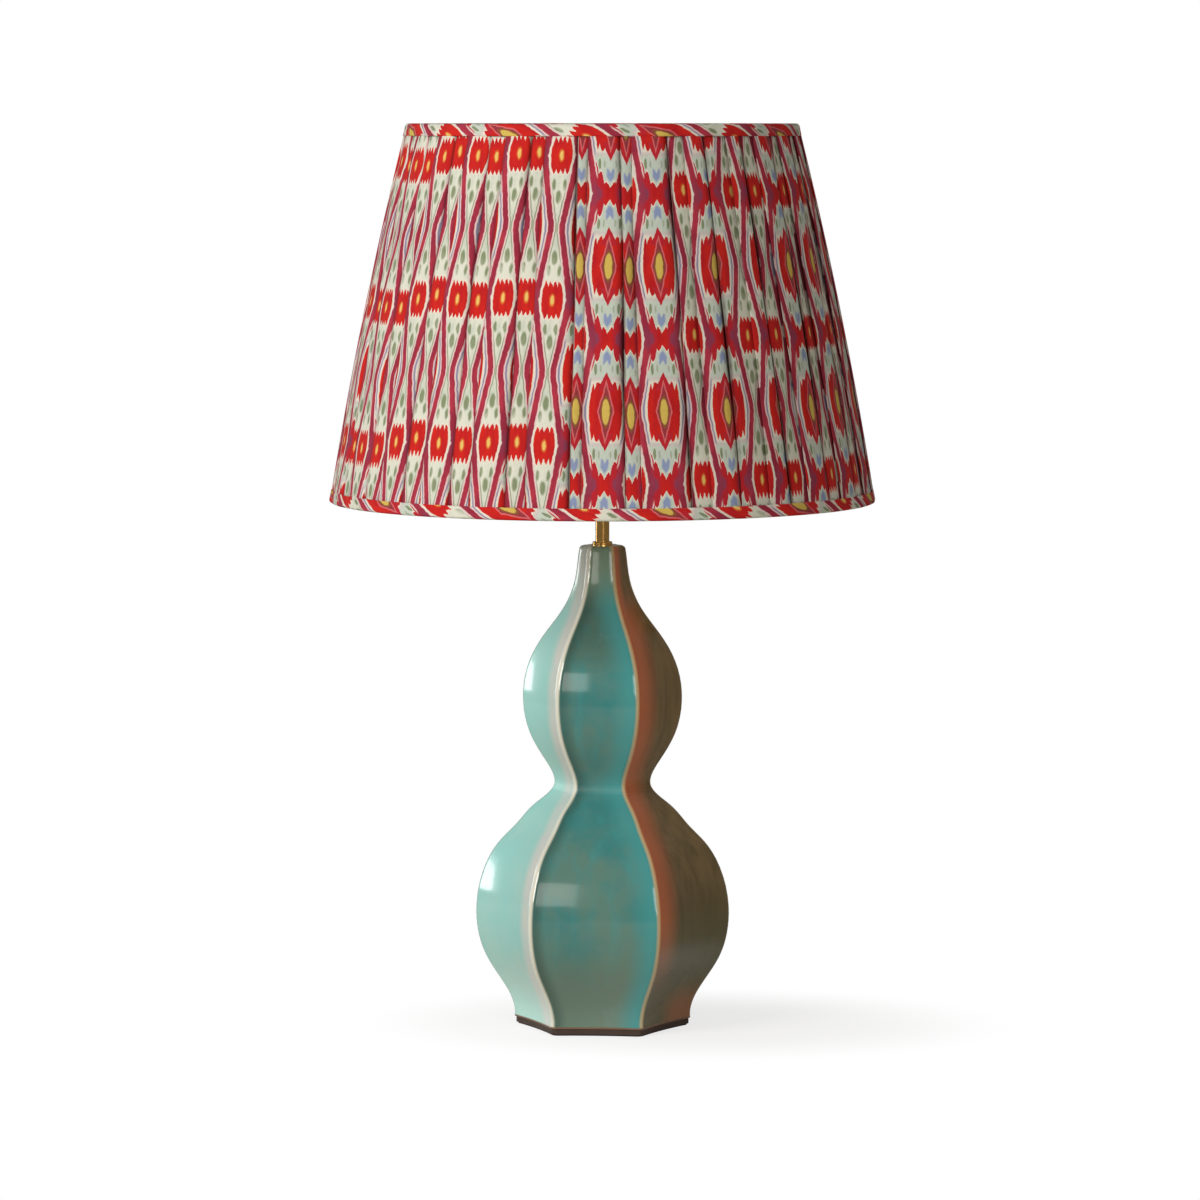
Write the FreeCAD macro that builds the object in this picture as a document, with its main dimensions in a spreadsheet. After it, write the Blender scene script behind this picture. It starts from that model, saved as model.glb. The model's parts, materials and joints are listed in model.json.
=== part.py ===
import FreeCAD, Part
import math
import os
import re
import Sketcher

# Table lamp: a six-sided double-gourd ceramic body on a base plate, a brass stem,
# a turn-knob lamp holder, a wire harp and a pleated cone shade on a three-arm spider.
# Millimetres, +Z up, origin on the floor under the middle of the lamp.

Vector = FreeCAD.Vector

SIZES = {
    # Whole lamp
    "total_height": 744.2,
    "stack_gap": 0.3,
    "fit_gap": 0.05,
    # Felt and base plate under the gourd
    "felt_thick": 1.2,
    "felt_inset": 3.0,
    "plate_thick": 4.8,
    "plate_inset": 1.4,
    "plug_rise": 10.0,
    "plug_gap": 1.0,
    "recess_radius": 16.0,
    "recess_depth": 9.5,
    # Gourd outline: corner radius and height at its turning points, and its two belly arcs
    "gourd_top": 398.5,
    "foot_corner": 73.0,
    "foot_band": 14.0,
    "foot_flare": 3.0,
    "flare_height": 22.5,
    "belly_corner": 104.9,
    "belly_height": 95.0,
    "belly_arc": 94.0,
    "waist_corner": 39.9,
    "waist_height": 200.5,
    "waist_flare": 17.5,
    "waist_run": 18.0,
    "crown_corner": 65.8,
    "crown_height": 273.0,
    "crown_arc": 84.0,
    "neck_corner": 19.3,
    "neck_flare": 12.4,
    "neck_length": 47.0,
    "lip_round": 4.0,
    "ridge_round": 5.5,
    "facet_hollow": 6.0,
    "wall_thick": 6.5,
    "roof_share": 0.55,
    "neck_hole_radius": 5.5,
    # Cord inlet low on the back facet
    "cord_height": 34.0,
    "cord_tilt": 28.0,
    "grommet_barrel_radius": 4.3,
    "grommet_bore_radius": 3.3,
    "grommet_flange_radius": 7.0,
    "grommet_tail_radius": 5.6,
    "grommet_flange_thick": 1.8,
    # Threaded pipe and what it clamps
    "pipe_radius": 4.85,
    "pipe_bore_radius": 3.5,
    "pipe_tail": 1.0,
    "washer_radius": 13.0,
    "washer_thick": 1.4,
    "nut_across": 16.0,
    "nut_thick": 4.6,
    "neck_ring_radius": 8.25,
    "neck_ring_thick": 3.0,
    "stem_radius": 5.7,
    "stem_length": 48.5,
    "jam_nut_across": 14.0,
    "jam_nut_thick": 3.0,
    # Harp saddle, sleeves, wire and swivel stud
    "saddle_thick": 1.6,
    "saddle_width": 12.0,
    "saddle_bend": 4.0,
    "ear_half_span": 26.0,
    "ear_height": 18.0,
    "ear_width": 5.6,
    "ear_shoulder": 5.5,
    "wire_radius": 1.8,
    "leg_straight": 38.0,
    "harp_half_width": 60.0,
    "harp_wide_height": 92.0,
    "harp_upper_half_width": 52.0,
    "harp_upper_drop": 63.0,
    "harp_top_half_width": 16.0,
    "harp_leg_bend": 28.0,
    "harp_side_bend": 80.0,
    "harp_top_bend": 14.0,
    "eye_radius": 6.5,
    "eye_thick": 5.2,
    "stud_neck_radius": 2.5,
    "stud_head_radius": 4.2,
    "stud_head_thick": 1.5,
    "stud_shoulder_radius": 7.0,
    "stud_shoulder_thick": 2.6,
    "stud_thread_radius": 3.1,
    "stud_thread_length": 13.5,
    "sleeve_radius": 5.0,
    "sleeve_bore_radius": 3.6,
    "sleeve_skirt": 11.5,
    "sleeve_collar": 5.0,
    # Finial
    "finial_foot_radius": 6.0,
    "finial_ball_radius": 8.0,
    "finial_height": 22.0,
    # Lamp holder
    "cap_hub_radius": 8.0,
    "cap_hub_height": 9.0,
    "cap_radius": 17.5,
    "cap_height": 24.0,
    "cap_bowl": 12.0,
    "sheet_thick": 0.7,
    "shell_radius": 16.6,
    "shell_start": 17.0,
    "shell_end": 66.0,
    "lining_thick": 0.8,
    "insulator_lip": 1.2,
    "switch_radius": 14.5,
    "switch_start": 13.0,
    "switch_end": 38.0,
    "shaft_height": 30.0,
    "shaft_radius": 2.0,
    "shaft_start": 8.0,
    "shaft_hole_radius": 3.2,
    "knob_start": 19.5,
    "knob_radius": 6.5,
    "knob_length": 14.0,
    "flute_count": 12.0,
    "flute_radius": 0.8,
    "screw_shell_radius": 13.9,
    "screw_shell_thick": 0.5,
    "screw_shell_length": 26.0,
    "contact_radius": 4.5,
    "contact_thick": 2.4,
    "terminal_height": 18.0,
    "terminal_head_radius": 3.0,
    "terminal_head_thick": 1.8,
    "terminal_flat": 10.2,
    "terminal_shank_radius": 1.5,
    "terminal_shank": 4.0,
    "set_screw_radius": 1.5,
    "set_screw_length": 4.4,
    "set_screw_height": 4.5,
    # Bulb
    "bulb_radius": 30.0,
    "bulb_length": 110.0,
    "bulb_glass_thick": 1.0,
    "bulb_neck_radius": 12.2,
    "bulb_neck_length": 12.0,
    "bulb_neck_tuck": 5.0,
    "bulb_neck_arc": 62.0,
    "bulb_turn": 24.0,
    "bulb_cap_radius": 13.0,
    "bulb_cap_thick": 0.5,
    "bulb_cap_length": 21.0,
    "bulb_nub_radius": 4.0,
    "bulb_nub_thick": 1.5,
    "bulb_base_thick": 3.5,
    "bulb_base_edge": 2.0,
    # Shade: outside of the bindings, then the layers inwards
    "shade_bottom_radius": 225.0,
    "shade_top_radius": 161.0,
    "shade_bottom_height": 435.0,
    "spider_drop": 27.85,
    "binding_thick": 0.9,
    "binding_width": 10.0,
    "top_turn_in": 2.4,
    "bottom_turn_in": 7.0,
    "pleat_count": 28.0,
    "pleat_depth": 2.0,
    "pleat_slant": 0.5,
    "wide_share": 0.62,
    "cover_bulge": 3.5,
    "cloth_thick": 1.2,
    "card_thick": 0.9,
    "ring_wire_radius": 1.6,
    "hub_radius": 13.0,
    "hub_hole_radius": 3.6,
    "hub_thick": 2.0,
    "arm_wire_radius": 1.5,
    "arm_inner_radius": 11.0,
    "arm_knee_radius": 118.0,
    "arm_bend": 22.0,
}

# Places and sizes that follow from the driving ones
DERIVED = {
    "gourd_base": "felt_thick + plate_thick",
    "recess_roof": "felt_thick + recess_depth",
    "inner_ridge_round": "0.4 * ridge_round",
    "plug_corner": "foot_corner - wall_thick / cos(30) - plug_gap",
    "pipe_start": "recess_roof - washer_thick - nut_thick - pipe_tail",
    "stem_start": "gourd_top + neck_ring_thick",
    "saddle_base": "stem_start + stem_length",
    "jam_nut_base": "saddle_base + saddle_thick",
    "holder_base": "jam_nut_base + jam_nut_thick",
    "ear_top": "saddle_base + ear_height",
    "hub_base": "total_height - spider_drop",
    "shoulder_top": "hub_base - fit_gap",
    "shoulder_base": "shoulder_top - stud_shoulder_thick",
    "eye_top": "shoulder_base - 2 * fit_gap",
    "harp_top": "eye_top - eye_thick / 2",
    "harp_height": "harp_top - ear_top",
    "hub_middle": "hub_base + hub_thick / 2",
    "finial_base": "hub_base + hub_thick + fit_gap",
    "switch_top": "holder_base + switch_end",
    "bulb_base": "switch_top + contact_thick + stack_gap",
    "bulb_cap_base": "bulb_nub_thick + bulb_base_thick",
    "bulb_cap_top": "bulb_cap_base + bulb_cap_length",
    "insulator_radius": "shell_radius - sheet_thick - stack_gap",
    "crest_inset": "binding_thick + stack_gap",
    "cover_inset": "crest_inset + pleat_depth + cloth_thick",
    "card_inset": "cover_inset + stack_gap",
    "ring_inset": "card_inset + card_thick + stack_gap + ring_wire_radius",
    "turn_in_inset": "ring_inset + ring_wire_radius + stack_gap",
    "layer_bottom": "shade_bottom_height + binding_thick + stack_gap",
    "layer_top": "total_height - binding_thick - stack_gap",
    "bottom_ring_height": "layer_bottom + ring_wire_radius",
    "top_ring_height": "layer_top - ring_wire_radius",
}

doc = FreeCAD.newDocument("lamp")
sheet = doc.addObject("Spreadsheet::Sheet", "Sizes")
sub_parts = []


def fill_sheet():
    for row, (alias, number) in enumerate(SIZES.items(), start=1):
        sheet.set("A%d" % row, alias)
        sheet.set("B%d" % row, str(number))
        sheet.setAlias("B%d" % row, alias)
    doc.recompute()


def spell(text):
    # Derived names unfold and sheet names get the sheet's prefix
    def swap(match):
        word = match.group(0)
        if word in DERIVED:
            return "(" + spell(DERIVED[word]) + ")"
        if word in SIZES:
            return "Sizes." + word
        return word
    return re.sub(r"[a-z_][a-z_0-9]*", swap, str(text))


def value(text):
    return float(sheet.evalExpression(spell(text)))


def bind(thing, path, text):
    thing.setExpression(path, spell(text))


def shade_cone(height, inset):
    # Radius of the shade's cone at a height, moved in by an inset
    run = "(shade_bottom_radius - shade_top_radius) / (total_height - shade_bottom_height)"
    return "shade_bottom_radius - (%s - shade_bottom_height) * %s - (%s)" % (height, run, inset)


# Bodies, sketches and outlines

def new_body(label, base="0"):
    body = doc.addObject("PartDesign::Body", label)
    body.Label = label
    body.AllowCompound = True
    bind(body, "Placement.Base.z", base)
    sub_parts.append(body)
    return body


def new_sketch(body, name, role, offset=None):
    sketch = body.newObject("Sketcher::SketchObject", name)
    plane = next(item for item in body.Origin.OriginFeatures if item.Role == role)
    sketch.AttachmentSupport = [(plane, "")]
    sketch.MapMode = "FlatFace"
    if offset is not None:
        bind(sketch, "AttachmentOffset.Base.z", offset)
    return sketch


def arc_between(start, end, radius):
    # A minor arc, centre to the left of the way from start to end when radius is positive
    half = (end - start) * 0.5
    aside = Vector(-half.y, half.x, 0).normalize()
    reach = math.sqrt(max(radius * radius - half.Length ** 2, 0))
    centre = start + half + aside * math.copysign(reach, radius)
    first, last = (start, end) if radius > 0 else (end, start)
    circle = Part.Circle(centre, Vector(0, 0, 1), abs(radius))
    begin = math.atan2(first.y - centre.y, first.x - centre.x)
    finish = math.atan2(last.y - centre.y, last.x - centre.x)
    if finish < begin:
        finish += 2 * math.pi
    return Part.ArcOfCircle(circle, begin, finish)


def fix_points(sketch, points):
    # Each (geometry, point, name, across, up) is held at its own place from the origin
    held = []
    for geometry, point, name, across, up in points:
        for kind, text in (("DistanceX", across), ("DistanceY", up)):
            rule = Sketcher.Constraint(kind, -1, 1, geometry, point, value(text))
            held.append((rule, "%s_%s" % (name, kind[-1]), text))
    bind_rules(sketch, held)


def bind_rules(sketch, held):
    # Adds constraints under their names and ties each to its size
    for rule, title, text in held:
        rule.Name = title
    sketch.addConstraint([rule for rule, title, text in held])
    for rule, title, text in held:
        bind(sketch, "Constraints." + title, text)


def draw_outline(sketch, points):
    # Closed outline: (x, y) starts a line, (x, y, radius) starts an arc that turns left,
    # or right when the radius is given with a minus sign in front of its brackets
    start_index = sketch.GeometryCount
    places = [Vector(value(point[0]), value(point[1]), 0) for point in points]
    edges, ends, joins, places_held, rounds = [], [], [], [], []
    for index, point in enumerate(points):
        start = places[index]
        end = places[(index + 1) % len(points)]
        if len(point) == 2:
            edges.append(Part.LineSegment(start, end))
            ends.append((1, 2))
            continue
        radius = value(point[2])
        edges.append(arc_between(start, end, radius))
        ends.append((1, 2) if radius > 0 else (2, 1))
    sketch.addGeometry(edges, False)
    for index, point in enumerate(points):
        after = (index + 1) % len(points)
        here = start_index + index
        joins.append(Sketcher.Constraint(
            "Coincident", here, ends[index][1], start_index + after, ends[after][0]))
        places_held.append((here, ends[index][0], "point%d" % here, point[0], point[1]))
        if len(point) == 3:
            rule = Sketcher.Constraint("Radius", here, abs(value(point[2])))
            rounds.append((rule, "round%d" % here, "abs(%s)" % point[2]))
    sketch.addConstraint(joins)
    fix_points(sketch, places_held)
    if rounds:
        bind_rules(sketch, rounds)


def draw_circle(sketch, across, up, radius):
    here = sketch.GeometryCount
    centre = Vector(value(across), value(up), 0)
    sketch.addGeometry(Part.Circle(centre, Vector(0, 0, 1), value(radius)), False)
    fix_points(sketch, [(here, 3, "centre%d" % here, across, up)])
    bind_rules(sketch, [(Sketcher.Constraint("Radius", here, value(radius)), "round%d" % here, radius)])


def draw_bent_path(sketch, corners, bends):
    # Open path: straight runs through the corners, joined by tangent arcs of the given radii
    spots = [Vector(value(x), value(y), 0) for x, y in corners]
    runs = len(spots) - 1
    sweeps = []
    starts, finishes = [spots[0]], []
    for index in range(1, runs):
        before = (spots[index - 1] - spots[index]).normalize()
        behind = (spots[index + 1] - spots[index]).normalize()
        radius = value(bends[index - 1])
        reach = radius / math.tan(before.getAngle(behind) / 2)
        finishes.append(spots[index] + before * reach)
        starts.append(spots[index] + behind * reach)
        turn = before.cross(behind).z
        sweeps.append(arc_between(finishes[-1], starts[-1], -math.copysign(radius, turn)))
    finishes.append(spots[-1])
    for index in range(runs):
        sketch.addGeometry(Part.LineSegment(starts[index], finishes[index]), False)
    for index, sweep in enumerate(sweeps):
        sketch.addGeometry(sweep, False)
        first = 1 if (sweep.StartPoint - finishes[index]).Length < 1e-6 else 2
        arc = runs + index
        sketch.addConstraint(Sketcher.Constraint("Tangent", index, 2, arc, first))
        sketch.addConstraint(Sketcher.Constraint("Tangent", index + 1, 1, arc, 3 - first))
        rule = Sketcher.Constraint("Radius", arc, value(bends[index]))
        bind_rules(sketch, [(rule, "bend%d" % index, bends[index])])
    fix_points(sketch, [(0, 1, "start") + corners[0], (runs - 1, 2, "finish") + corners[-1]])
    for index in range(1, runs):
        here = sketch.GeometryCount
        sketch.addGeometry(Part.Point(spots[index]), True)
        fix_points(sketch, [(here, 1, "corner%d" % index) + corners[index]])
        sketch.addConstraint(Sketcher.Constraint("PointOnObject", here, 1, index - 1))
        sketch.addConstraint(Sketcher.Constraint("PointOnObject", here, 1, index))


# Features

def revolve(body, name, points):
    sketch = new_sketch(body, name + "_outline", "XZ_Plane")
    draw_outline(sketch, points)
    turn = body.newObject("PartDesign::Revolution", name)
    turn.Profile = sketch
    turn.ReferenceAxis = (sketch, ["V_Axis"])
    turn.Angle = 360
    return turn


def lathe(label, base, points):
    body = new_body(label, base)
    revolve(body, label + "_turned", points)
    return body


def ring(label, base, inner, outer, height):
    return lathe(label, base, [(inner, "0"), (outer, "0"), (outer, height), (inner, height)])


def pad(body, name, sketch, length, midplane=False):
    block = body.newObject("PartDesign::Pad", name)
    block.Profile = sketch
    bind(block, "Length", length)
    block.Midplane = midplane
    return block


def pocket(body, name, sketch, depth, midplane=False, reversed_way=False):
    doc.recompute()
    before = body.Shape.Volume
    cut = body.newObject("PartDesign::Pocket", name)
    cut.Profile = sketch
    bind(cut, "Length", depth)
    cut.Midplane = midplane
    cut.Reversed = reversed_way
    doc.recompute()
    if body.Shape.Volume > before - 0.01:
        raise ValueError("%s cuts nothing" % name)
    return cut


def polar(body, name, feature, count):
    doc.recompute()
    pattern = body.newObject("PartDesign::PolarPattern", name)
    pattern.Originals = [feature]
    pattern.Axis = (next(item for item in body.Origin.OriginFeatures if item.Role == "Z_Axis"), [""])
    pattern.Angle = 360
    bind(pattern, "Occurrences", count)
    body.Tip = pattern
    return pattern


def wire_along(body, name, profile, path):
    pipe = body.newObject("PartDesign::AdditivePipe", name)
    pipe.Profile = profile
    pipe.Spine = path
    return pipe


# Six-sided sections of the gourd, its foot plate and its felt

def hexagon_points(corner, rounding, hollow):
    # Six rounded corners joined by six slightly hollow sides, each an arc
    side = "((((%s) - (%s)) / 2 - (%s) * sin(%s)) / sin(%s))" % (corner, rounding, rounding, hollow, hollow)
    points = []
    for turn in range(0, 360, 60):
        for sign, radius in (("-", rounding), ("+", "-" + side)):
            spread = "(%d %s (30 + %s))" % (turn, sign, hollow)
            across = "((%s) - (%s)) * cos(%d) + (%s) * cos(%s)" % (corner, rounding, turn, rounding, spread)
            up = "((%s) - (%s)) * sin(%d) + (%s) * sin(%s)" % (corner, rounding, turn, rounding, spread)
            points.append((across, up, radius))
    return points


def facet_distance(corner):
    # From the axis to the middle of a hollow side
    return ("((%s) - ridge_round) * cos(30) + ridge_round * cos(facet_hollow)"
            " - (((%s) - ridge_round) / 2 - ridge_round * sin(facet_hollow))"
            " / sin(facet_hollow) * (1 - cos(facet_hollow))" % (corner, corner))


def arc_station(height, corner, arc, share):
    # A point of a belly arc, at a share of its radius above or below its widest place
    place = "%s + %s * (%g)" % (height, arc, share)
    return place, "%s - %s * (1 - sqrt(1 - (%g)^2))" % (corner, arc, share)


def cord_corner():
    return "belly_corner - belly_arc + sqrt(belly_arc^2 - (belly_height - cord_height)^2)"


def neck_station(share):
    place = "gourd_top - lip_round - neck_length * %s" % share
    return place, "neck_corner + neck_flare * %s^2" % share


def lip_station(turn):
    # A point of the rounded lip, at an angle above its level tangent
    place = "gourd_top - lip_round * (1 - sin(%d))" % turn
    return place, "neck_corner - lip_round * (1 - cos(%d))" % turn


def gourd_stations():
    stations = [
        ("gourd_base", "foot_corner"),
        ("foot_band", "foot_corner + 0.1 * foot_flare"),
        ("flare_height", "foot_corner + foot_flare"),
        ("cord_height", cord_corner()),
    ]
    for share in (-0.4, 0, 0.36, 0.6, 0.77):
        stations.append(arc_station("belly_height", "belly_corner", "belly_arc", share))
    stations.append(("waist_height - waist_run", "waist_corner + waist_flare"))
    stations.append(("waist_height", "waist_corner"))
    for share in (-0.6, -0.32, 0, 0.32, 0.6):
        stations.append(arc_station("crown_height", "crown_corner", "crown_arc", share))
    for share in ("1", "roof_share", "0"):
        stations.append(neck_station(share))
    return stations


def section_stack(body, prefix, stations, inset, rounding):
    sketches = []
    for number, (height, corner) in enumerate(stations):
        sketch = new_sketch(body, "%s_%d" % (prefix, number), "XY_Plane", height)
        draw_outline(sketch, hexagon_points("%s - (%s)" % (corner, inset), rounding, "facet_hollow"))
        sketches.append(sketch)
    return sketches


def make_gourd_body():
    body = new_body("gourd_body")
    stations = gourd_stations()
    lip = [lip_station(turn) for turn in (30, 60, 90)]
    outer = section_stack(body, "outside", stations + lip, "0", "ridge_round")
    shell = body.newObject("PartDesign::AdditiveLoft", "gourd_outside")
    shell.Profile = outer[0]
    shell.Sections = outer[1:]
    inner = section_stack(body, "inside", stations[:-1], "wall_thick / cos(30)", "inner_ridge_round")
    hollow = body.newObject("PartDesign::SubtractiveLoft", "gourd_inside")
    hollow.Profile = inner[0]
    hollow.Sections = inner[1:]
    top = new_sketch(body, "neck_hole_outline", "XY_Plane", "gourd_top")
    draw_circle(top, "0", "0", "neck_hole_radius")
    pocket(body, "neck_hole", top, "lip_round + neck_length * roof_share + wall_thick")
    drill_cord_hole(body)


def aim_through_inlet(thing, depth):
    # Points a thing's axis outwards through the back facet, from a depth behind its face
    turn = -90 - value("cord_tilt")
    thing.Placement = FreeCAD.Placement(Vector(0, 0, 0), FreeCAD.Rotation(Vector(1, 0, 0), turn))
    bind(thing, "Placement.Rotation.Angle", "(-90 - cord_tilt) * 1 deg")
    bind(thing, "Placement.Base.y", "%s - %s * cos(cord_tilt)" % (facet_distance(cord_corner()), depth))
    bind(thing, "Placement.Base.z", "cord_height + %s * sin(cord_tilt)" % depth)


def drill_cord_hole(body):
    drill = body.newObject("PartDesign::SubtractiveCylinder", "cord_hole")
    bind(drill, "Radius", "grommet_barrel_radius + fit_gap")
    bind(drill, "Height", "3 * wall_thick")
    aim_through_inlet(drill, "2 * wall_thick")


def make_cord_grommet():
    body = new_body("cord_grommet")
    tail_end = "-stack_gap - grommet_flange_thick"
    barrel_end = "wall_thick + stack_gap"
    face = barrel_end + " + grommet_flange_thick"
    edge = "0.6 * grommet_flange_thick"
    revolve(body, "grommet_turned", [
        ("grommet_bore_radius", tail_end),
        ("grommet_tail_radius", tail_end),
        ("grommet_tail_radius", "-stack_gap"),
        ("grommet_barrel_radius", "-stack_gap"),
        ("grommet_barrel_radius", barrel_end),
        ("grommet_flange_radius", barrel_end),
        ("grommet_flange_radius", "%s - %s" % (face, edge), edge),
        ("grommet_flange_radius - " + edge, face),
        ("grommet_bore_radius", face),
    ])
    aim_through_inlet(body, "wall_thick")


def make_base_plate():
    body = new_body("base_plate", "felt_thick")
    rim = new_sketch(body, "plate_outline", "XY_Plane")
    draw_outline(rim, hexagon_points("foot_corner - plate_inset", "ridge_round", "facet_hollow"))
    pad(body, "plate_rim", rim, "plate_thick")
    plug = new_sketch(body, "plug_outline", "XY_Plane", "plate_thick")
    draw_outline(plug, hexagon_points("plug_corner", "inner_ridge_round", "facet_hollow"))
    pad(body, "plate_plug", plug, "plug_rise")
    recess = new_sketch(body, "recess_outline", "XY_Plane")
    draw_circle(recess, "0", "0", "recess_radius")
    pocket(body, "nut_recess", recess, "recess_depth", reversed_way=True)
    hole = new_sketch(body, "pipe_hole_outline", "XY_Plane")
    draw_circle(hole, "0", "0", "pipe_radius + stack_gap")
    pocket(body, "pipe_hole", hole, "2 * (plate_thick + plug_rise)", reversed_way=True)


def make_felt_pad():
    body = new_body("felt_pad")
    outline = new_sketch(body, "felt_outline", "XY_Plane")
    draw_outline(outline, hexagon_points("foot_corner - felt_inset", "ridge_round", "facet_hollow"))
    pad(body, "felt", outline, "felt_thick")


# Pipe, nuts and stem

def hex_nut(label, base, across, thick):
    body = new_body(label, base)
    outline = new_sketch(body, label + "_outline", "XY_Plane")
    corner = "%s / 2 / cos(30)" % across
    turns = range(0, 360, 60)
    points = [("%s * cos(%d)" % (corner, turn), "%s * sin(%d)" % (corner, turn)) for turn in turns]
    draw_outline(outline, points)
    draw_circle(outline, "0", "0", "pipe_radius + fit_gap")
    pad(body, label + "_blank", outline, thick)


def make_stem():
    ring("threaded_pipe", "pipe_start", "pipe_bore_radius", "pipe_radius",
         "holder_base + cap_hub_height - pipe_start")
    washer_base = "recess_roof - washer_thick"
    ring("bottom_washer", washer_base, "pipe_radius + stack_gap", "washer_radius", "washer_thick")
    hex_nut("bottom_nut", washer_base + " - nut_thick", "nut_across", "nut_thick")
    edge = "0.35 * neck_ring_thick"
    lathe("neck_ring", "gourd_top", [
        ("pipe_radius + stack_gap", "0"),
        ("neck_ring_radius", "0"),
        ("neck_ring_radius", "neck_ring_thick - " + edge, edge),
        ("neck_ring_radius - " + edge, "neck_ring_thick"),
        ("pipe_radius + stack_gap", "neck_ring_thick"),
    ])
    ring("brass_stem", "stem_start", "pipe_radius + stack_gap", "stem_radius", "stem_length")
    hex_nut("saddle_nut", "jam_nut_base", "jam_nut_across", "jam_nut_thick")


# Harp

def make_harp_saddle():
    body = new_body("harp_saddle", "saddle_base")
    strip = new_sketch(body, "strip_outline", "XZ_Plane")
    out = "(ear_half_span + saddle_thick / 2)"
    into = "(ear_half_span - saddle_thick / 2)"
    bend = "(saddle_bend + saddle_thick)"
    rise = "(saddle_thick + saddle_bend)"
    draw_outline(strip, [
        ("-" + out, "ear_height"),
        ("-" + out, rise, bend),
        ("-%s + %s" % (out, bend), "0"),
        ("%s - %s" % (out, bend), "0", bend),
        (out, rise),
        (out, "ear_height"),
        (into, "ear_height"),
        (into, rise, "-saddle_bend"),
        (into + " - saddle_bend", "saddle_thick"),
        ("-%s + saddle_bend" % into, "saddle_thick", "-saddle_bend"),
        ("-" + into, rise),
        ("-" + into, "ear_height"),
    ])
    pad(body, "strip", strip, "saddle_width", midplane=True)
    ears = new_sketch(body, "ear_outline", "YZ_Plane")
    for sign in ("-", ""):
        near = sign + "(ear_width / 2)"
        far = sign + "(saddle_width)"
        above = "2 * ear_height"
        draw_outline(ears, [(near, "ear_shoulder"), (far, "ear_shoulder"), (far, above), (near, above)])
    pocket(body, "ears", ears, "4 * ear_half_span", midplane=True)
    hole = new_sketch(body, "saddle_hole_outline", "XY_Plane")
    draw_circle(hole, "0", "0", "pipe_radius + stack_gap")
    pocket(body, "saddle_hole", hole, "3 * saddle_thick", midplane=True)


def make_harp_wire():
    body = new_body("harp_wire", "ear_top")
    right = [
        ("ear_half_span", "0"),
        ("ear_half_span", "leg_straight"),
        ("harp_half_width", "harp_wide_height"),
        ("harp_upper_half_width", "harp_height - harp_upper_drop"),
        ("harp_top_half_width", "harp_height"),
    ]
    left = [("-(%s)" % x, z) for x, z in reversed(right)]
    bends = ["harp_leg_bend", "harp_side_bend", "harp_side_bend", "harp_top_bend"]
    path = new_sketch(body, "harp_path", "XZ_Plane")
    draw_bent_path(path, right + left, bends + bends[::-1])
    profile = new_sketch(body, "harp_profile", "XY_Plane")
    draw_circle(profile, "ear_half_span", "0", "wire_radius")
    wire_along(body, "harp_bow", profile, path)
    eye = new_sketch(body, "eye_outline", "XY_Plane", "harp_height - eye_thick / 2")
    draw_circle(eye, "0", "0", "eye_radius")
    pad(body, "eye", eye, "eye_thick")
    hole = new_sketch(body, "eye_hole_outline", "XY_Plane", "harp_height")
    draw_circle(hole, "0", "0", "stud_neck_radius + fit_gap")
    pocket(body, "eye_hole", hole, "2 * eye_thick", midplane=True)


def make_harp_stud():
    head_top = "stud_head_thick"
    shoulder = "stud_head_thick + eye_thick + 3 * fit_gap"
    thread = shoulder + " + stud_shoulder_thick"
    tip = thread + " + stud_thread_length"
    chamfer = "0.3 * stud_thread_radius"
    lathe("harp_stud", "shoulder_base - (%s)" % shoulder, [
        ("0", "0"),
        ("stud_head_radius", "0"),
        ("stud_head_radius", head_top),
        ("stud_neck_radius", head_top),
        ("stud_neck_radius", shoulder),
        ("stud_shoulder_radius", shoulder),
        ("stud_shoulder_radius", thread),
        ("stud_thread_radius", thread),
        ("stud_thread_radius", tip + " - " + chamfer),
        ("stud_thread_radius - " + chamfer, tip),
        ("0", tip),
    ])


def make_harp_sleeve(label, side):
    step = "sleeve_skirt + stack_gap"
    body = lathe(label, "ear_top - sleeve_skirt", [
        ("sleeve_bore_radius", "0"),
        ("sleeve_radius", "0"),
        ("sleeve_radius", step),
        ("0.75 * sleeve_radius", "sleeve_skirt + sleeve_collar"),
        ("wire_radius + fit_gap", "sleeve_skirt + sleeve_collar"),
        ("wire_radius + fit_gap", step),
        ("sleeve_bore_radius", step),
    ])
    bind(body, "Placement.Base.x", side + "ear_half_span")


def make_finial():
    bore = "stud_thread_radius + 2 * fit_gap"
    depth = "stud_thread_length - hub_thick + 2 * stack_gap"
    ball = "(finial_height - finial_ball_radius)"
    waist = "0.55 * finial_ball_radius"
    lathe("finial", "finial_base", [
        (bore, "0"),
        ("finial_foot_radius", "0"),
        ("finial_foot_radius", "0.08 * finial_height"),
        ("0.8 * finial_foot_radius", "0.16 * finial_height"),
        (waist, "%s - sqrt(finial_ball_radius^2 - (%s)^2)" % (ball, waist), "finial_ball_radius"),
        ("finial_ball_radius", ball, "finial_ball_radius"),
        ("0", "finial_height"),
        ("0", depth),
        (bore, depth),
    ])


# Lamp holder

def side_hole(body, name, height, radius, reach, role="XZ_Plane", reversed_way=True):
    sketch = new_sketch(body, name + "_outline", role)
    draw_circle(sketch, "0", height, radius)
    return pocket(body, name, sketch, reach, reversed_way=reversed_way)


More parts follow.
